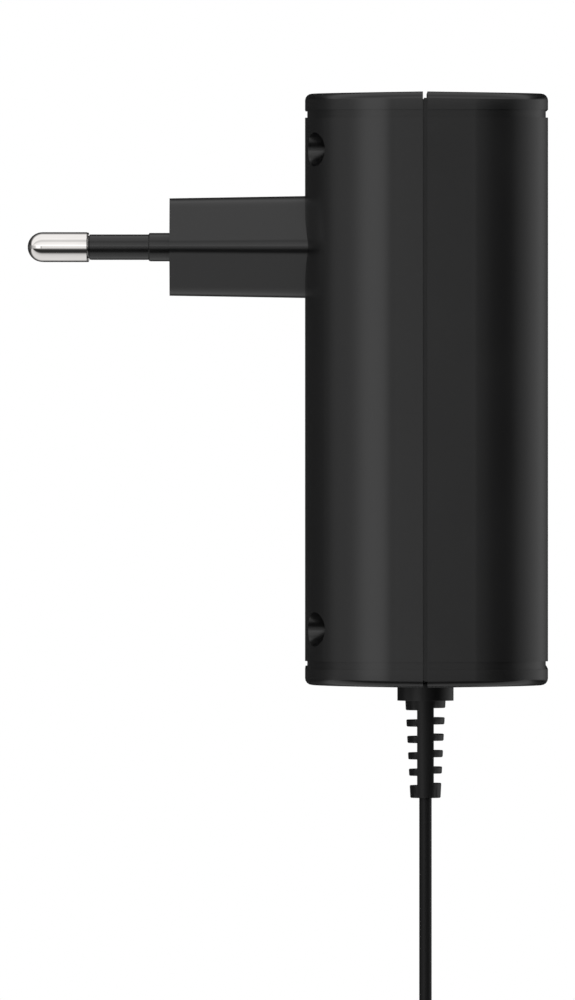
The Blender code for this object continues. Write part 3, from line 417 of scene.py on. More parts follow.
def add_node(tree, kind, inputs=None, **values):
    """A node with these properties. Each input takes a plain value or another node's output."""
    node = tree.nodes.new(kind)
    for key, value in values.items():
        setattr(node, key, value)
    for key, value in (inputs or {}).items():
        if isinstance(value, bpy.types.NodeSocket):
            tree.links.new(value, node.inputs[key])
        else:
            node.inputs[key].default_value = value
    return node


def maths(tree, operation, first, second=0.5, clamp=False):
    """The output of a Math node on two sockets or numbers."""
    inputs = {0: first, 1: second}
    return add_node(tree, "ShaderNodeMath", inputs, operation=operation, use_clamp=clamp).outputs[0]


def ranged(tree, value, low, high, to_low=0.0, to_high=1.0, smooth=False):
    """Maps a value from one range to another, clamped."""
    inputs = {"Value": value, "From Min": low, "From Max": high, "To Min": to_low, "To Max": to_high}
    kind = "SMOOTHSTEP" if smooth else "LINEAR"
    return add_node(tree, "ShaderNodeMapRange", inputs, interpolation_type=kind).outputs["Result"]


def noise(tree, scale, detail=2.0, stretch=(1.0, 1.0, 1.0)):
    """A noise value on Object coordinates, in grains of about 1/scale metres."""
    where = add_node(tree, "ShaderNodeTexCoord").outputs["Object"]
    place = add_node(tree, "ShaderNodeMapping", {"Vector": where, "Scale": stretch}).outputs[0]
    inputs = {"Vector": place, "Scale": scale, "Detail": detail}
    return add_node(tree, "ShaderNodeTexNoise", inputs).outputs["Fac"]


def new_surface(name, inputs):
    """A shader node group with these inputs, which puts out a colour, a roughness and a height."""
    tree = bpy.data.node_groups.new(name, "ShaderNodeTree")
    sockets = [(label, "INPUT") for label in inputs]
    sockets += [(label, "OUTPUT") for label in ("Colour", "Roughness", "Height")]
    for label, way in sockets:
        kind = "NodeSocketColor" if label == "Colour" else "NodeSocketFloat"
        socket = tree.interface.new_socket(label, in_out=way, socket_type=kind)
        if way == "INPUT":
            socket.default_value = inputs[label]
    return tree, add_node(tree, "NodeGroupInput").outputs


# Where nearly all of a noise's values lie
NOISE_RANGE = (0.2, 0.8)


def vary(tree, given, gloss, shade, spread, height):
    """Varies a surface's gloss by one noise and its colour by another, and gives it a height."""
    shift = maths(tree, "MULTIPLY", maths(tree, "SUBTRACT", gloss, 0.5), given["Unevenness"])
    rough = maths(tree, "ADD", given["Roughness"], shift, clamp=True)
    level = ranged(tree, shade, *NOISE_RANGE, *spread)
    grey = add_node(tree, "ShaderNodeCombineColor", {0: level, 1: level, 2: level}).outputs[0]
    inputs = {"Factor": 1.0, "A": given["Colour"], "B": grey}
    tint = add_node(tree, "ShaderNodeMix", inputs, data_type="RGBA", blend_type="MULTIPLY")
    made = {"Colour": tint.outputs["Result"], "Roughness": rough, "Height": height}
    add_node(tree, "NodeGroupOutput", made)
    return tree


def moulded_group():
    """Moulded plastic: a fine spark-eroded grain, and slow changes of gloss and shade."""
    inputs = {
        "Colour": (0.02, 0.02, 0.02, 1.0),
        "Roughness": 0.3,
        "Unevenness": 0.03,
        "Grain Scale": 9000.0,
    }
    tree, given = new_surface("moulded surface", inputs)
    slow = noise(tree, scale=90.0, detail=3.0)
    where = add_node(tree, "ShaderNodeTexCoord").outputs["Object"]
    grain = add_node(tree, "ShaderNodeTexNoise", {"Vector": where, "Scale": given["Grain Scale"]})
    return vary(tree, given, slow, slow, (0.85, 1.15), grain.outputs["Fac"])


def drawn_group():
    """Plated or drawn metal: fine marks along X and slow changes of gloss."""
    inputs = {"Colour": (0.7, 0.7, 0.7, 1.0), "Roughness": 0.2, "Unevenness": 0.08}
    tree, given = new_surface("drawn metal", inputs)
    marks = noise(tree, scale=2500.0, stretch=(0.12, 1.0, 1.0))
    slow = noise(tree, scale=260.0)
    return vary(tree, given, slow, marks, (0.94, 1.04), marks)


moulded = moulded_group()
drawn = drawn_group()


def finish(name, group, colour, roughness, bump, metallic=0.0, depth=0.00001, **sockets):
    """A material whose colour, roughness and relief come from one of the surface groups."""
    material = bpy.data.materials.new(name)
    material.use_nodes = True
    tree = material.node_tree
    shader = tree.nodes["Principled BSDF"]
    surface = add_node(tree, "ShaderNodeGroup", node_tree=group)
    own = {"Colour": (*colour, 1.0), "Roughness": roughness, "Metallic": metallic, **sockets}
    for key, value in own.items():
        target = surface if key in surface.inputs else shader
        target.inputs[key].default_value = value
    inputs = {"Strength": bump, "Distance": depth, "Height": surface.outputs["Height"]}
    relief = add_node(tree, "ShaderNodeBump", inputs)
    tree.links.new(surface.outputs["Colour"], shader.inputs["Base Color"])
    tree.links.new(surface.outputs["Roughness"], shader.inputs["Roughness"])
    tree.links.new(relief.outputs["Normal"], shader.inputs["Normal"])
    return material


def satin_plastic(name, colour, roughness):
    """Hard moulded plastic."""
    return finish(name, moulded, colour, roughness, bump=0.15)


def soft_plastic(name, colour, roughness, shine=0.5):
    """Flexible plastic, duller than the housing's."""
    values = {"Grain Scale": 5000.0, "Specular IOR Level": shine}
    return finish(name, moulded, colour, roughness, bump=0.25, **values)


def fuzzy_fabric(name, colour):
    """The loop side of a hook-and-loop strap: dull, with short soft loops all over."""
    values = {"Grain Scale": 5200.0, "Sheen Weight": 0.25, "Specular IOR Level": 0.2}
    return finish(name, moulded, colour, roughness=0.9, bump=1.0, depth=0.00012, **values)


def plated(name, colour, roughness):
    """Bare, plated or lacquered metal."""
    return finish(name, drawn, colour, roughness, bump=0.1, metallic=1.0)


# Floor, backdrop and light


def grey_shader(tree, kind, level, **inputs):
    """The output of a plain shader of one grey level."""
    return add_node(tree, kind, {"Color": (level, level, level, 1.0), **inputs}).outputs[0]


def mixed(tree, factor, first, second):
    """Two shaders mixed: a factor of 0 gives the first, and 1 the second."""
    return add_node(tree, "ShaderNodeMixShader", {0: factor, 1: first, 2: second}).outputs[0]


def make_floor():
    """A pale round floor that turns plain white towards its rim and is clear from below."""
    material = bpy.data.materials.new("pale_floor")
    material.use_nodes = True
    tree = material.node_tree
    tree.nodes.clear()
    middle = (CORD_X, 0.0, FLOOR_Z)
    where = add_node(tree, "ShaderNodeTexCoord").outputs["Object"]
    away = add_node(tree, "ShaderNodeVectorMath", {0: where, 1: middle}, operation="DISTANCE")
    rim = ranged(tree, away.outputs["Value"], *FLOOR_RIM, smooth=True)
    paper = grey_shader(tree, "ShaderNodeBsdfDiffuse", PAPER_LEVEL)
    white = grey_shader(tree, "ShaderNodeEmission", 1.0)
    clear = grey_shader(tree, "ShaderNodeBsdfTransparent", 1.0)
    underside = add_node(tree, "ShaderNodeNewGeometry").outputs["Backfacing"]
    surface = mixed(tree, underside, mixed(tree, rim, paper, white), clear)
    add_node(tree, "ShaderNodeOutputMaterial", {"Surface": surface})
    made = bmesh.new()
    bmesh.ops.create_circle(made, cap_ends=True, segments=FLOOR_SIDES, radius=FLOOR_RADIUS)
    bmesh.ops.translate(made, verts=made.verts[:], vec=middle)
    mesh = bpy.data.meshes.new("floor")
    made.to_mesh(mesh)
    made.free()
    floor = add_object("floor", mesh, material)
    floor.visible_glossy = False


def curve_of(tree, value, points):
    """A smooth curve through these points, read at value, which runs from 0 to 1."""
    node = add_node(tree, "ShaderNodeFloatCurve", {"Value": value})
    line = node.mapping.curves[0]
    while len(line.points) < len(points):
        line.points.new(0.5, 0.5)
    for point, (x, y) in zip(line.points, points):
        point.location = (x, y)
        point.handle_type = "AUTO"
    node.mapping.extend = "HORIZONTAL"
    node.mapping.update()
    return node.outputs[0]


# Both lists of light are fitted to the photo, not measured in a real studio. The first was worked
# back from the grey levels across the housing, and both were adjusted until the render agreed.
# What stands round the object at its own height: (degrees to the right of the camera, brightness)
ROUND_LIGHT = [
    (-180, 0.03),
    (-142, 0.05),
    (-119, 0.09),
    (-102, 0.19),
    (-89, 0.46),
    (-78, 0.60),
    (-66, 0.66),
    (-50, 1.10),
    (-34, 1.44),
    (-17, 1.18),
    (-9, 0.50),
    (-3, 0.94),
    (2, 0.27),
    (16, 0.19),
    (30, 0.03),
    (46, 0.00),
    (58, 0.05),
    (72, 0.29),
    (90, 0.54),
    (108, 0.72),
    (124, 0.67),
    (140, 0.38),
    (160, 0.10),
    (180, 0.03),
]
# What stands above and below it: (degrees up from the camera and over the top, brightness)
OVERHEAD_LIGHT = [
    (-180, 0.02),
    (-160, 0.03),
    (-142, 0.12),
    (-130, 0.38),
    (-117, 0.84),
    (-100, 0.86),
    (-84, 0.84),
    (-68, 0.76),
    (-59, 0.66),
    (-51, 0.40),
    (-44, 0.08),
    (-36, 0.03),
    (-27, 0.03),
    (-20, 0.07),
    (-14, 0.26),
    (-8, 0.66),
    (0, 1.30),
    (7, 1.95),
    (13, 1.80),
    (21, 1.12),
    (34, 1.08),
    (50, 0.76),
    (67, 1.12),
    (88, 1.06),
    (106, 1.08),
    (116, 0.80),
    (125, 0.42),
    (134, 0.15),
    (150, 0.04),
    (180, 0.02),
]
BRIGHTEST = 2.0
BELT_DEGREES = (4.5, 13.5)
PLAIN_LIGHT = 0.85


def light_at(tree, angle, light):
    """How bright the studio is at an angle from -pi to pi, as a share of the brightest."""
    share = ranged(tree, angle, -math.pi, math.pi)
    points = [((degrees + 180) / 360, value / BRIGHTEST) for degrees, value in light]
    return curve_of(tree, share, points)


def background(tree, strength):
    """White light of a strength that is a number or a socket."""
    return grey_shader(tree, "ShaderNodeBackground", 1.0, Strength=strength)


def make_world():
    """White behind the object, plain light on it, and fitted bands of light that its gloss shows."""
    world = bpy.data.worlds.new("studio")
    scene.world = world
    world.use_nodes = True
    world.cycles.sampling_method = "NONE"
    tree = world.node_tree
    tree.nodes.clear()
    direction = add_node(tree, "ShaderNodeTexCoord").outputs["Generated"]
    x, y, z = add_node(tree, "ShaderNodeSeparateXYZ", {0: direction}).outputs
    ahead = maths(tree, "MULTIPLY", y, -1.0)
    around = light_at(tree, maths(tree, "ARCTAN2", x, ahead), ROUND_LIGHT)
    above = light_at(tree, maths(tree, "ARCTAN2", z, ahead), OVERHEAD_LIGHT)
    height = maths(tree, "ABSOLUTE", maths(tree, "ARCSINE", z))
    inner, outer = (math.radians(limit) for limit in BELT_DEGREES)
    beyond = ranged(tree, height, inner, outer, smooth=True)
    inputs = {"Factor": beyond, "A": around, "B": above}
    studio = add_node(tree, "ShaderNodeMix", inputs, data_type="FLOAT")
    panels = background(tree, maths(tree, "MULTIPLY", studio.outputs["Result"], BRIGHTEST))
    ray = add_node(tree, "ShaderNodeLightPath").outputs
    gloss = mixed(tree, ray["Is Glossy Ray"], background(tree, PLAIN_LIGHT), panels)
    seen = maths(tree, "MAXIMUM", ray["Is Camera Ray"], ray["Is Transmission Ray"])
    surface = mixed(tree, seen, gloss, background(tree, 1.0))
    add_node(tree, "ShaderNodeOutputWorld", {"Surface": surface})


def make_lamp():
    """One large soft lamp overhead, which gives the floor its shadow."""
    data = bpy.data.lights.new("overhead", "AREA")
    data.shape = "DISK"
    data.size = LAMP_SIZE
    data.energy = LAMP_POWER
    lamp = bpy.data.objects.new("overhead", data)
    scene.collection.objects.link(lamp)
    lamp.location = LAMP_PLACE
    aim = Vector(LAMP_AIM) - lamp.location
    lamp.rotation_euler = aim.to_track_quat("-Z", "Y").to_euler()
    lamp.visible_glossy = False
    lamp.visible_camera = False


# Housing


def rise(x, end_x):
    """How far the moulding draft has drawn the walls in at x, on the half that ends at end_x."""
    toward_end = 1 if end_x > SEAM_X else -1
    return math.tan(DRAFT) * toward_end * (x - SEAM_X)


def half_plan(end_x, corner, inset, rim_x):
    """The outline, from above, of the half between rim_x and end_x, with every wall inset."""
    toward_end = 1 if end_x > SEAM_X else -1
    centre_x = end_x - toward_end * corner
    half_width = HOUSING_WIDTH / 2
    centre_y = half_width - rise(centre_x, end_x) - corner / math.cos(DRAFT)
    side = [(rim_x, half_width - inset / math.cos(DRAFT) - rise(rim_x, end_x))]
    for i in range(CORNER_STEPS + 1):
        angle = DRAFT + (math.pi / 2 - DRAFT) * i / CORNER_STEPS
        x = centre_x + toward_end * (corner - inset) * math.sin(angle)
        y = centre_y + (corner - inset) * math.cos(angle)
        side.append((x, y))
    return side + [(x, -y) for x, y in reversed(side)]


def half_block(name, end_x, corner, inset, rim_x, fillet=0.0):
    """One half of the housing as a solid block, inset from the outer walls."""
    plan = half_plan(end_x, corner, inset, rim_x)
    made = bmesh.new()
    low = [(x, y, BOTTOM_Z + inset + rise(x, end_x)) for x, y in plan]
    high = [(x, y, TOP_Z - inset - rise(x, end_x)) for x, y in plan]
    caps = skin(made, [low, high])
    bmesh.ops.recalc_face_normals(made, faces=made.faces)
    if fillet:
        edges = [edge for cap in caps for edge in cap.edges]
        rim = [e for e in edges if any(abs(v.co.x - rim_x) > HAIR for v in e.verts)]
        bmesh.ops.bevel(
            made, geom=rim, offset=fillet, segments=FILLET_STEPS, profile=0.5, affect="EDGES"
        )
    return add_object(name, mesh_from(made, name))


def groove_slabs(name, end_x, corner, rim_x):
    """Tools for the shallow grooves that set off a band at the top and at the bottom."""
    beyond = math.copysign(WALL, end_x - rim_x)
    low_x, high_x = sorted((end_x + beyond, rim_x - beyond))
    slabs = []
    for end, low_z in (
        ("top", TOP_Z - BAND_WIDTH - BAND_GROOVE_WIDTH),
        ("bottom", BOTTOM_Z + BAND_WIDTH),
    ):
        low = (low_x, -HOUSING_WIDTH, low_z)
        high = (high_x, HOUSING_WIDTH, low_z + BAND_GROOVE_WIDTH)
        slab = box(f"{name}_{end}_groove", low, high)
        core = half_block(f"{name}_core", end_x, corner, BAND_GROOVE_DEPTH, rim_x - 2 * beyond)
        slabs.append(trimmed(slab, [core]))
    return slabs


def whole_slice(name, low_x, high_x):
    """A tool that takes in all of the housing between two depths."""
    low = (low_x, -HOUSING_WIDTH, -CUT_REACH)
    return box(name, low, (high_x, HOUSING_WIDTH, CUT_REACH))


def exit_hole():
    """The tool for the hole that the strain relief's neck goes through."""
    return rod("exit", EXIT_RADIUS, BOTTOM_Z - WALL, BOTTOM_Z + 2 * WALL, cord_line())


def screw_places():
    """(y, z) of each screw."""
    for z_side in (1, -1):
        for y_side in (-1, 1):
            yield y_side * SCREW_HALF_SPACING_Y, CENTRE_Z + z_side * SCREW_HALF_SPACING_Z


def screw_rods(name, radius, low_x, high_x):
    """A rod at each screw, between two depths."""
    return [rod(name, radius, low_x, high_x, along_x(y, z)) for y, z in screw_places()]


def front_shell(plastic):
    """The half next to the wall: rounded corners, a plug window, screw recesses and a rebate."""
    shell = half_block("front_shell_skin", FRONT_X, FRONT_CORNER, 0.0, FRONT_RIM_X, EDGE_FILLET)
    room = half_block("room", FRONT_X, FRONT_CORNER, WALL, REAR_RIM_X)
    trimmed(room, screw_rods("boss", BOSS_RADIUS, 0.0, REBATE_X - FIT_GAP))
    window = loft("window", [nose_outline(x, -HAIR) for x in (FRONT_X - WALL, FRONT_X + 2 * WALL)])
    rebate = half_block("rebate", FRONT_X, FRONT_CORNER, SEAM_GROOVE_DEPTH - FIT_GAP, REAR_RIM_X)
    trimmed(rebate, [whole_slice("ahead", 0.0, REBATE_X)])
    recesses = []
    for y, z in screw_places():
        profile = [
            (0.0, REAR_RIM_X),
            (SCREW_HOLE_RADIUS, REAR_RIM_X),
            (SCREW_HOLE_RADIUS, SCREW_SEAT_X),
            (SCREW_RECESS_RADIUS, SCREW_SEAT_X),
            (SCREW_RECESS_RADIUS, FRONT_X / 2),
            (0.0, FRONT_X / 2),
        ]
        twist = Matrix.Rotation(TOOL_TWIST, 4, "Z")
        recesses.append(turned("recess", profile, along_x(y, z) @ twist, None, 48))
    grooves = groove_slabs("front", FRONT_X, FRONT_CORNER, FRONT_RIM_X)
    trimmed(shell, [room, window, rebate, *grooves, *recesses, exit_hole()])
    shell.data.materials.append(plastic)
    return show(smoothed(shell), "front_shell")


def rear_shell(plastic):
    """The plain half, with the tongue that closes the seam groove."""
    shell = half_block("rear_shell_skin", REAR_X, REAR_CORNER, 0.0, REAR_RIM_X, EDGE_FILLET)
    tongue = half_block("tongue", REAR_X, REAR_CORNER, SEAM_GROOVE_DEPTH, TONGUE_X)
    behind = whole_slice("behind", REAR_RIM_X + WALL, 2 * REAR_X)
    line = whole_slice("line", FRONT_RIM_X - SEAM_LINE_WIDTH, FRONT_RIM_X + SEAM_LINE_WIDTH)
    core_inset = SEAM_GROOVE_DEPTH + SEAM_LINE_DEPTH
    core = half_block("core", REAR_X, REAR_CORNER, core_inset, TONGUE_X - WALL)
    trimmed(tongue, [behind, trimmed(line, [core])])
    trimmed(shell, [tongue], "UNION")
    room = half_block("room", REAR_X, REAR_CORNER, WALL, TONGUE_X - WALL)
    trimmed(room, screw_rods("post", POST_RADIUS, POST_START_X, REAR_X))
    grooves = groove_slabs("rear", REAR_X, REAR_CORNER, REAR_RIM_X)
    pilots = screw_rods("pilot", SCREW_HOLE_RADIUS, PILOT_START_X, PILOT_END_X)
    trimmed(shell, [room, *grooves, *pilots, exit_hole()])
    shell.data.materials.append(plastic)
    return show(smoothed(shell), "rear_shell")


# Plug and pins


def nose_outline(x, inset):
    """The plug's rounded six-sided outline at x. The draft widens it towards the housing."""
    inset = inset + math.tan(NOSE_DRAFT) * (FRONT_X - x)
    slant_y = NOSE_HALF_WIDTH - NOSE_FLAT_HALF_WIDTH
    slant = math.hypot(slant_y, NOSE_HALF_HEIGHT)
    half_height = NOSE_HALF_HEIGHT - inset
    half_width = NOSE_HALF_WIDTH - inset * slant / NOSE_HALF_HEIGHT
    flat = half_width - half_height * slant_y / NOSE_HALF_HEIGHT
    half = [
        (half_width, 0.0, NOSE_RIDGE_FILLET),
        (flat, half_height, NOSE_EDGE_FILLET),
        (-flat, half_height, NOSE_EDGE_FILLET),
    ]
    corners = half + [(-y, -z, radius) for y, z, radius in half]
    outline = []
    for i, (y, z, radius) in enumerate(corners):
        here = Vector((y, z))
        before = (Vector(corners[i - 1][:2]) - here).normalized()
        after = (Vector(corners[(i + 1) % len(corners)][:2]) - here).normalized()
        half_angle = before.angle(after) / 2
        bend = max(radius - inset, HAIR)
        centre = here + (before + after).normalized() * bend / math.sin(half_angle)
        first = here + before * bend / math.tan(half_angle) - centre
        start = math.atan2(first.y, first.x)
        for step in range(NOSE_CORNER_STEPS + 1):
            angle = start + (math.pi - 2 * half_angle) * step / NOSE_CORNER_STEPS
            outline.append((x, centre.x + bend * math.cos(angle), centre.y + bend * math.sin(angle)))
    return outline


def pin_sides():
    """(name ending, y at the engagement face, lean) of each pin."""
    for side_name, side in (("left", -1), ("right", 1)):
        yield side_name, side * PIN_SPACING / 2, side * PIN_LEAN


def plug_block(plastic):
    """The hollow tapered block that the pins stand on."""
    block = loft("plug_block_skin", [nose_outline(x, 0.0) for x in (0.0, NOSE_END_X)])
    room = loft("room", [nose_outline(x, NOSE_WALL) for x in (NOSE_FACE_WALL, 2 * NOSE_END_X)])
    holes = [
        rod("hole", PIN_HOLE_RADIUS, -COLLAR_LENGTH, FRONT_X / 2, along_x(y, 0.0, lean))
        for _, y, lean in pin_sides()
    ]
    trimmed(block, [room, *holes])
    block.data.materials.append(plastic)
    return show(smoothed(block, 20.0), "plug_block")


def pin(ending, y, lean, metal):
    """A bright pin with a round tip."""
    end = PIN_METAL_X - SHOULDER_GROOVE
    profile = [
        (0.0, PIN_TAIL_X),
        (PIN_CORE_RADIUS, PIN_TAIL_X),
        (PIN_CORE_RADIUS, end),
        (PIN_RADIUS - HAIR, end),
        (PIN_RADIUS, end - HAIR),
    ]
    for step in range(PIN_TIP_STEPS):
        angle = math.pi / 2 * step / PIN_TIP_STEPS
        height = -PIN_LENGTH + PIN_RADIUS * (1 - math.sin(angle))
        profile.append((PIN_RADIUS * math.cos(angle), height))
    profile.append((0.0, -PIN_LENGTH))
    made = turned(f"pin_{ending}_metal", profile, along_x(y, 0.0, lean), metal)
    return show(smoothed(made), f"pin_{ending}")


def pin_sleeve(ending, y, lean, plastic):
    """The pin's thin insulating sleeve and its thicker collar at the plug's face.

    A narrow groove lies between the sleeve and the bare metal.
    """
    end = PIN_METAL_X + SHOULDER_GROOVE
    liner_end = PIN_METAL_X - SHOULDER_GROOVE + SLEEVE_HAIR
    profile = [
        (SLEEVE_BORE_RADIUS, SLEEVE_FOOT_X),
        (COLLAR_RADIUS, SLEEVE_FOOT_X),
        (COLLAR_RADIUS, -COLLAR_LENGTH + SLEEVE_EASE),
        (COLLAR_RADIUS - SLEEVE_EASE, -COLLAR_LENGTH),
        (SLEEVE_RADIUS + COLLAR_FILLET, -COLLAR_LENGTH - SLEEVE_HAIR),
        (SLEEVE_RADIUS, -COLLAR_LENGTH - COLLAR_FILLET_LENGTH),
        (SLEEVE_RADIUS, end + SLEEVE_EASE / 2),
        (SLEEVE_RADIUS - SLEEVE_EASE / 2, end),
        (SLEEVE_LINER_RADIUS, end),
        (SLEEVE_LINER_RADIUS, liner_end),
        (SLEEVE_BORE_RADIUS, liner_end),
    ]
    made = turned(f"pin_{ending}_sleeve", profile, along_x(y, 0.0, lean), plastic)
    return show(smoothed(made), f"pin_sleeve_{ending}")


def screws(metal):
    """One cross-recess screw, put at each of its four places by geometry nodes."""
    head_x = SCREW_SEAT_X - HAIR
    point_x = head_x + SCREW_LENGTH
    profile = [
        (0.0, point_x),
        (SCREW_POINT_RADIUS, point_x),
        (SCREW_SHANK_RADIUS, point_x - SCREW_SHANK_RADIUS),
        (SCREW_SHANK_RADIUS, head_x),
        (SCREW_HEAD_RADIUS, head_x),
    ]
    profile += [(SCREW_HEAD_RADIUS * share, head_x - height) for share, height in SCREW_DOME]
    screw = turned("one_screw", profile, along_x(0.0, 0.0), metal, 32)
    half, thin = CROSS_LENGTH / 2, CROSS_WIDTH / 2
    deep = head_x - SCREW_HEAD_HEIGHT + CROSS_DEPTH
    proud = deep - CROSS_REACH
    arms = [
        box("arm", (proud, -half, -thin), (deep, half, thin)),
        box("arm", (proud, -thin, -half), (deep, thin, half)),
    ]
    smoothed(trimmed(screw, arms))
    tree = bpy.data.node_groups.new("screws in place", "GeometryNodeTree")
    for way in ("INPUT", "OUTPUT"):
        tree.interface.new_socket("Geometry", in_out=way, socket_type="NodeSocketGeometry")
    for label, value in (
        ("Spacing Y", 2 * SCREW_HALF_SPACING_Y),
        ("Spacing Z", 2 * SCREW_HALF_SPACING_Z),
        ("Centre Z", CENTRE_Z),
    ):
        socket = tree.interface.new_socket(label, in_out="INPUT", socket_type="NodeSocketFloat")
        socket.default_value = value
    given = add_node(tree, "NodeGroupInput").outputs
    inputs = {"Vertices X": 2, "Vertices Y": 2}
    inputs.update({"Size X": given["Spacing Z"], "Size Y": given["Spacing Y"]})
    grid = add_node(tree, "GeometryNodeMeshGrid", inputs).outputs["Mesh"]
    shift = add_node(tree, "ShaderNodeCombineXYZ", {"Z": given["Centre Z"]}).outputs[0]
    inputs = {"Geometry": grid, "Translation": shift, "Rotation": (0.0, math.pi / 2, 0.0)}
    upright = add_node(tree, "GeometryNodeTransform", inputs).outputs[0]
    inputs = {"Points": upright, "Instance": given["Geometry"]}
    placed = add_node(tree, "GeometryNodeInstanceOnPoints", inputs).outputs[0]
    real = add_node(tree, "GeometryNodeRealizeInstances", {0: placed}).outputs[0]
    inputs = {"Geometry": real, "Material": metal}
    coated = add_node(tree, "GeometryNodeSetMaterial", inputs).outputs[0]
    add_node(tree, "NodeGroupOutput", {0: coated})
    screw.name = "housing_screws"
    modifier = screw.modifiers.new("places", "NODES")
    modifier.node_group = tree
    baked(screw)
    names = [f"screw_{up}_{side}" for up in ("top", "bottom") for side in ("left", "right")]
    return show(screw, *names)


# Strain relief


def relief_half_x(z):
    """Half the sleeve's depth at z. It tapers towards the cord."""
    share = (RELIEF_BODY_Z - z) / (RELIEF_BODY_Z - RELIEF_END_Z)
    return RELIEF_TOP_HALF_X + (RELIEF_END_HALF_X - RELIEF_TOP_HALF_X) * share


def relief_outline(z, cut_sides, eased_sides=()):
    """A level oval round the cord, cut flat at the web on the sides where a slot is.

    On an eased side the fin's outer edge is drawn in a little.
    """
    half_x = relief_half_x(z)
    web = RELIEF_WEB / 2
    outline = []
    for i in range(RELIEF_STEPS):
        angle = 2 * math.pi * (i + 0.5) / RELIEF_STEPS
        x = half_x * math.cos(angle)
        y = half_x * RELIEF_HALF_Y_SHARE * math.sin(angle)
        side = "left" if x < 0 else "right"
        if side in cut_sides:
            x = math.copysign(min(abs(x), web), x)
        elif side in eased_sides:
            inset = RELIEF_EASE * smooth_step(web, web + RELIEF_EASE_REACH, abs(x))
            x -= inset * math.cos(angle)
            y -= inset * math.sin(angle)
        outline.append((CORD_X + x, y, z))
    return outline


def strain_relief(plastic):
    """The collar, and the tapered sleeve with its slots from both sides."""
    levels = []
    for side, stagger in (("left", RELIEF_STAGGER), ("right", 0.0)):
        for i in range(RELIEF_SLOTS):
            top = RELIEF_BODY_Z - RELIEF_FIRST_SLOT - stagger - i * RELIEF_PITCH
            levels += [(top, side, 1), (top - RELIEF_SLOT, side, -1)]
    levels.sort(reverse=True)
    cut = set()
    outlines = [relief_outline(RELIEF_BODY_Z + RELIEF_EASE / 2, cut)]
    # The way is 1 where a slot opens and -1 where it closes
    for z, side, way in levels:
        others = cut - {side}
        steps = [
            relief_outline(z + way * RELIEF_EASE, others),
            relief_outline(z, others, {side}),
            relief_outline(z, others | {side}),
        ]
        outlines += steps[::way]
        cut = others | {side} if way == 1 else others
    outlines.append(relief_outline(RELIEF_END_Z + RELIEF_EASE, cut))
    outlines.append(relief_outline(RELIEF_END_Z, cut, {"left", "right"}))
    sleeve = loft("strain_relief_sleeve", outlines, plastic)
    show(smoothed(sleeve, 40.0), "strain_relief")
    flange_z = BOTTOM_Z + WALL + RELIEF_FLANGE_GAP
    flange_top = flange_z + RELIEF_FLANGE_THICKNESS
    profile = [
        (0.0, flange_top),
        (RELIEF_FLANGE_RADIUS, flange_top),
        (RELIEF_FLANGE_RADIUS, flange_z),
        (RELIEF_NECK_RADIUS, flange_z),
        (RELIEF_NECK_RADIUS, RELIEF_TOP_Z + RELIEF_COLLAR_SEAT),
        (RELIEF_COLLAR_RADIUS, RELIEF_TOP_Z + RELIEF_COLLAR_SEAT),
        (RELIEF_COLLAR_RADIUS, RELIEF_BODY_Z + RELIEF_EASE / 4),
        (RELIEF_COLLAR_RADIUS - RELIEF_EASE / 4, RELIEF_BODY_Z),
        (0.0, RELIEF_BODY_Z),
    ]
    collar = turned("strain_relief_collar", profile, cord_line(), plastic, RELIEF_STEPS)
    show(smoothed(collar), "strain_relief")


# Cord, hank and output plug


def half_turn(share, layer):
    """(across, up) on the half of a turn that goes down the right side and round the lower loop."""
    depth = layer * LAYER_PITCH
    centre = (WAIST_HALF_GAP + WAIST_RADIUS, WAIST_HALF_LENGTH)
    bend = math.acos(centre[0] / (LOOP_RADIUS + WAIST_RADIUS))
    round_loop = math.pi + 2 * bend
    lengths = [
        WAIST_HALF_LENGTH,
        WAIST_RADIUS * bend,
        LOOP_RADIUS * round_loop,
        WAIST_RADIUS * bend,
        WAIST_HALF_LENGTH,
    ]
    along = share * sum(lengths)
    if share > 0.5:
        across, up = half_turn(1.0 - share, layer)
        return -across, up
    if along <= lengths[0]:
        return WAIST_HALF_GAP + depth, -along
    along -= lengths[0]
    if along <= lengths[1]:
        angle = math.pi + bend * along / lengths[1]
        radius = WAIST_RADIUS - depth
        return centre[0] + radius * math.cos(angle), -centre[1] + radius * math.sin(angle)
    along -= lengths[1]
    angle = bend - round_loop * along / lengths[2]
    radius = LOOP_RADIUS + depth
    return radius * math.cos(angle), -LOOP_CENTRE + radius * math.sin(angle)


def turn_point(share, column, layer):
    """A point of a turn in a column of the hank, which starts at the waist's right side."""
    if share <= 0.5:
        across, up = half_turn(2 * share, layer)
    else:
        across, up = half_turn(2 * share - 1, layer)
        across, up = -across, -up
    return Vector((CORD_X + across, column * COLUMN_PITCH, HANK_CENTRE_Z + up))


def hank_points():
    """The hank's turns, from where the lead joins them to where the tail leaves them."""
    first, last = JOIN_SHARE, len(HANK_SLOTS) - JOIN_SHARE
    steps = int((last - first) * TURN_POINTS)
    points = []
    for i in range(steps + 1):
        total = first + (last - first) * i / steps
        turn = int(total)
        share = total - turn
        column, layer = HANK_SLOTS[turn]
        if turn < len(SHIFT_AT):
            half = CROSSING_HALF if turn == CROSSING_TURN else SHIFT_HALF
            moved = smooth_step(SHIFT_AT[turn] - half, SHIFT_AT[turn] + half, share)
            next_column, next_layer = HANK_SLOTS[turn + 1]
            column += (next_column - column) * moved
            layer += (next_layer - layer) * moved
        points.append(turn_point(share, column, layer))
    return points


def between(start, end, steps):
    """Points on an easy S from start to end, neither of them included."""
    made = []
    for i in range(1, steps):
        share = i / steps
        eased = smooth_step(0.0, 1.0, share)
        x = start.x + (end.x - start.x) * eased
        y = start.y + (end.y - start.y) * eased
        made.append(Vector((x, y, start.z + (end.z - start.z) * share)))
    return made


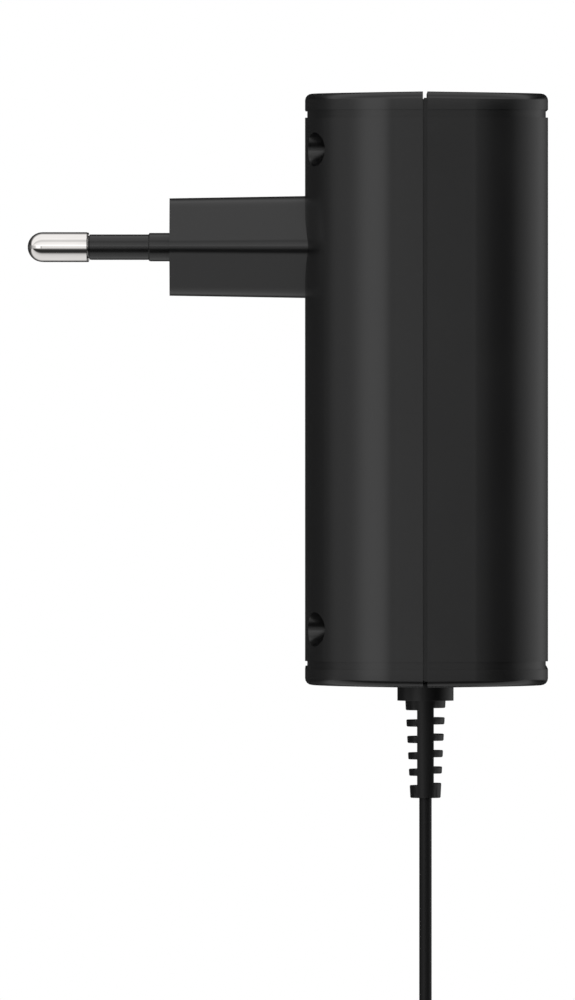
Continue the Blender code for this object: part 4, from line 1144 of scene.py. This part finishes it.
def cord_route():
    """The cord's middle line, from the strain relief through the hank to the output plug."""
    lead = [Vector((CORD_X, 0.0, z)) for z in LEAD_Z]
    tail = [Vector((CORD_X, 0.0, z)) for z in TAIL_Z]
    turns = hank_points()
    joined = lead + between(lead[-1], turns[0], JOIN_STEPS) + turns
    return joined + between(turns[-1], tail[0], JOIN_STEPS) + tail


def twin_section():
    """The cord's section: two round wires side by side with a narrow web between them."""
    radius = CORD_THICKNESS / 2
    reach = CORD_WIDTH / 2 - radius
    section = []
    for side in (1, -1):
        for i in range(WIRE_STEPS + 1):
            angle = WIRE_ARC * (2 * i / WIRE_STEPS - 1)
            across = radius * math.sin(angle) * side
            wide = side * (reach + radius * math.cos(angle))
            section.append((across, wide))
    return section


def sweep(name, points, section, material):
    """A section carried along points, its wide side kept as near to Y as it can be."""
    outlines = []
    for i, point in enumerate(points):
        before = points[max(i - 1, 0)]
        after = points[min(i + 1, len(points) - 1)]
        ahead = (after - before).normalized()
        wide = (Vector((0.0, 1.0, 0.0)) - ahead * ahead.y).normalized()
        narrow = wide.cross(ahead)
        outlines.append([point + narrow * a + wide * w for a, w in section])
    obj = loft(name, outlines, material)
    obj.data.shade_smooth()
    obj.data.set_sharp_from_angle(angle=CORD_SHARP_ANGLE)
    return obj


def make_cord(plastic):
    """The whole cord on one route: its lead, the turns of its hank and its tail."""
    route = cord_route()
    cord = sweep("power_cord", route, twin_section(), plastic)
    show(cord, "cord_lead", "cord_hank", "cord_tail")


def strap_ring(half_x, half_y, z):
    """A level rounded rectangle round the hank's waist."""
    bend = STRAP_BEND
    points = []
    for corner, (x_side, y_side) in enumerate(((1, 1), (-1, 1), (-1, -1), (1, -1))):
        for i in range(STRAP_CORNER_STEPS + 1):
            angle = math.pi / 2 * (corner + i / STRAP_CORNER_STEPS)
            x = CORD_X + x_side * (half_x - bend) + bend * math.cos(angle)
            y = y_side * (half_y - bend) + bend * math.sin(angle)
            points.append((x, y, HANK_CENTRE_Z + z))
    return points


def tie_strap(fabric):
    """The hook-and-loop strap round the hank's waist. Its free end lies over one broad side."""
    inner_x = WAIST_HALF_GAP + LAYER_PITCH + CORD_THICKNESS / 2 + STRAP_CLEARANCE
    inner_y = 2 * COLUMN_PITCH + CORD_WIDTH / 2 + STRAP_CLEARANCE
    half = TIE_HEIGHT / 2
    strap = loft(
        "cord_strap",
        [
            strap_ring(inner_x + grow, inner_y + grow, z)
            for z, grow in (
                (-half, STRAP_THICKNESS - STRAP_EASE),
                (-half + STRAP_EASE, STRAP_THICKNESS),
                (half - STRAP_EASE, STRAP_THICKNESS),
                (half, STRAP_THICKNESS - STRAP_EASE),
            )
        ],
    )
    room = loft("room", [strap_ring(inner_x, inner_y, z) for z in (-TIE_HEIGHT, TIE_HEIGHT)])
    outer_x = CORD_X + inner_x + TIE_THICKNESS
    tab_half = half - STRAP_TAB_INSET
    tab = box(
        "tab",
        (CORD_X + inner_x + STRAP_THICKNESS / 2, -inner_y + STRAP_BEND, HANK_CENTRE_Z - tab_half),
        (outer_x, inner_y - STRAP_BEND / 2, HANK_CENTRE_Z + tab_half),
        None,
        STRAP_EASE,
    )
    trimmed(strap, [tab], "UNION")
    trimmed(strap, [room])
    strap.data.materials.append(fabric)
    return show(smoothed(strap), "cord_tie")


def plug_grip(plastic):
    """The moulded grip with flutes round it and a tapered neck where the cord goes in."""
    neck_end = GRIP_TOP_Z - GRIP_NECK_LENGTH
    grip_end = neck_end - GRIP_LENGTH
    # Each level is (height, radius, share of the flutes' depth)
    levels = [(GRIP_TOP_Z - down, radius, 0.0) for down, radius in GRIP_MOUTH]
    levels.append((neck_end + GRIP_NECK_FLARE, GRIP_NECK_RADIUS, 0.0))
    levels += [(neck_end - down, radius, 0.0) for down, radius in GRIP_SHOULDER]
    levels += [(neck_end - down, GRIP_RADIUS, share) for down, share in GRIP_FLUTE_FADE]
    levels += [(grip_end + up, GRIP_RADIUS, share) for up, share in reversed(GRIP_FLUTE_FADE)]
    levels += [(grip_end + GRIP_EASE, GRIP_RADIUS, 0.0), (grip_end, GRIP_RADIUS - GRIP_EASE, 0.0)]
    steps = GRIP_FLUTE_STEPS * GRIP_FLUTES
    outlines = []
    for z, radius, share in levels:
        outline = []
        for i in range(steps):
            angle = 2 * math.pi * i / steps
            hollow = math.sin(GRIP_FLUTES * angle / 2) ** 4
            reach = radius - share * GRIP_FLUTE_DEPTH * hollow
            outline.append((CORD_X + reach * math.cos(angle), reach * math.sin(angle), z))
        outlines.append(outline)
    grip = loft("output_plug_grip_body", outlines, plastic)
    return show(smoothed(grip, 40.0), "output_plug_grip")


def plug_barrel(metal):
    """The plated barrel and its flange."""
    flange_z = GRIP_TOP_Z - GRIP_NECK_LENGTH - GRIP_LENGTH - BARREL_GAP
    barrel_z = flange_z - BARREL_FLANGE_THICKNESS
    end_z = barrel_z - BARREL_LENGTH
    profile = [
        (BARREL_BORE_RADIUS, flange_z),
        (BARREL_FLANGE_RADIUS, flange_z),
        (BARREL_FLANGE_RADIUS, barrel_z),
        (BARREL_RADIUS, barrel_z),
        (BARREL_RADIUS, end_z + BARREL_EASE),
        (BARREL_RADIUS - BARREL_EASE, end_z),
        (BARREL_BORE_RADIUS + BARREL_EASE / 2, end_z),
        (BARREL_BORE_RADIUS, end_z + BARREL_EASE),
    ]
    barrel = turned("output_plug_sleeve", profile, cord_line(), metal, 64)
    return show(smoothed(barrel), "output_plug_barrel")


# The run


def retint(material, *names):
    """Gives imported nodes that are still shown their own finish."""
    for name in names:
        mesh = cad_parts[name].data
        mesh.materials.clear()
        mesh.materials.append(material)


scene.view_settings.view_transform = "Standard"
make_camera()

housing_black = satin_plastic("housing_plastic", (0.0055, 0.0055, 0.0056), 0.22)
sleeve_black = satin_plastic("sleeve_plastic", (0.0062, 0.0062, 0.0063), 0.2)
relief_black = soft_plastic("strain_relief_plastic", (0.0042, 0.0042, 0.0043), 0.3, 0.29)
cord_black = soft_plastic("cord_plastic", (0.0034, 0.0034, 0.0035), 0.36, 0.19)
grip_black = soft_plastic("grip_plastic", (0.006, 0.006, 0.006), 0.35, 0.35)
strap_black = fuzzy_fabric("strap_fabric", (0.012, 0.012, 0.012))
nickel = plated("pin_nickel", (0.81, 0.785, 0.765), 0.06)
barrel_nickel = plated("barrel_nickel", (0.52, 0.52, 0.53), 0.16)
zinc = plated("screw_zinc", (0.5, 0.5, 0.51), 0.3)
package_black = satin_plastic("moulded_package", (0.02, 0.02, 0.02), 0.5)
can_black = satin_plastic("can_sleeve", (0.02, 0.02, 0.05), 0.3)

tie = tie_strap(strap_black)
grip = plug_grip(grip_black)
barrel = plug_barrel(barrel_nickel)
make_cord(cord_black)

front_shell(housing_black)
rear_shell(housing_black)
plug_block(housing_black)
for ending, y, lean in pin_sides():
    pin(ending, y, lean, nickel)
    pin_sleeve(ending, y, lean, sleeve_black)
screws(zinc)
strain_relief(relief_black)

retint(satin_plastic("contact_plastic", (0.01, 0.01, 0.01), 0.4), "output_plug_insulator")
retint(satin_plastic("carrier_plastic", (0.75, 0.75, 0.72), 0.5), "pin_carrier")
retint(satin_plastic("board", (0.05, 0.17, 0.05), 0.4), "circuit_board")
retint(satin_plastic("blue_coating", (0.06, 0.16, 0.40), 0.3), "fusible_resistor", "y_capacitor")
retint(satin_plastic("film_case", (0.80, 0.62, 0.10), 0.35), "x_capacitor")
retint(satin_plastic("ferrite", (0.05, 0.05, 0.055), 0.6), "transformer_core")
retint(satin_plastic("winding_tape", (0.85, 0.62, 0.06), 0.35), "transformer_winding")
retint(plated("enamelled_copper", (0.55, 0.22, 0.08), 0.3), "input_choke", "output_choke")
retint(plated("heat_sink_sheet", (0.75, 0.76, 0.77), 0.28), "heat_sink")
retint(package_black, "bridge_rectifier", "transformer_base", "switching_transistor")
retint(package_black, "control_chip", "optocoupler", "output_diode")
retint(can_black, "bulk_capacitor_left", "bulk_capacitor_right")
retint(can_black, "output_capacitor_left", "output_capacitor_right")
retint(soft_plastic("brown_insulation", (0.20, 0.07, 0.03), 0.45), "mains_lead_left")
retint(soft_plastic("blue_insulation", (0.04, 0.13, 0.55), 0.45), "mains_lead_right")
retint(soft_plastic("red_insulation", (0.55, 0.03, 0.02), 0.45), "output_lead_plus")
retint(soft_plastic("black_insulation", (0.02, 0.02, 0.02), 0.45), "output_lead_minus")

make_floor()
make_world()
make_lamp()
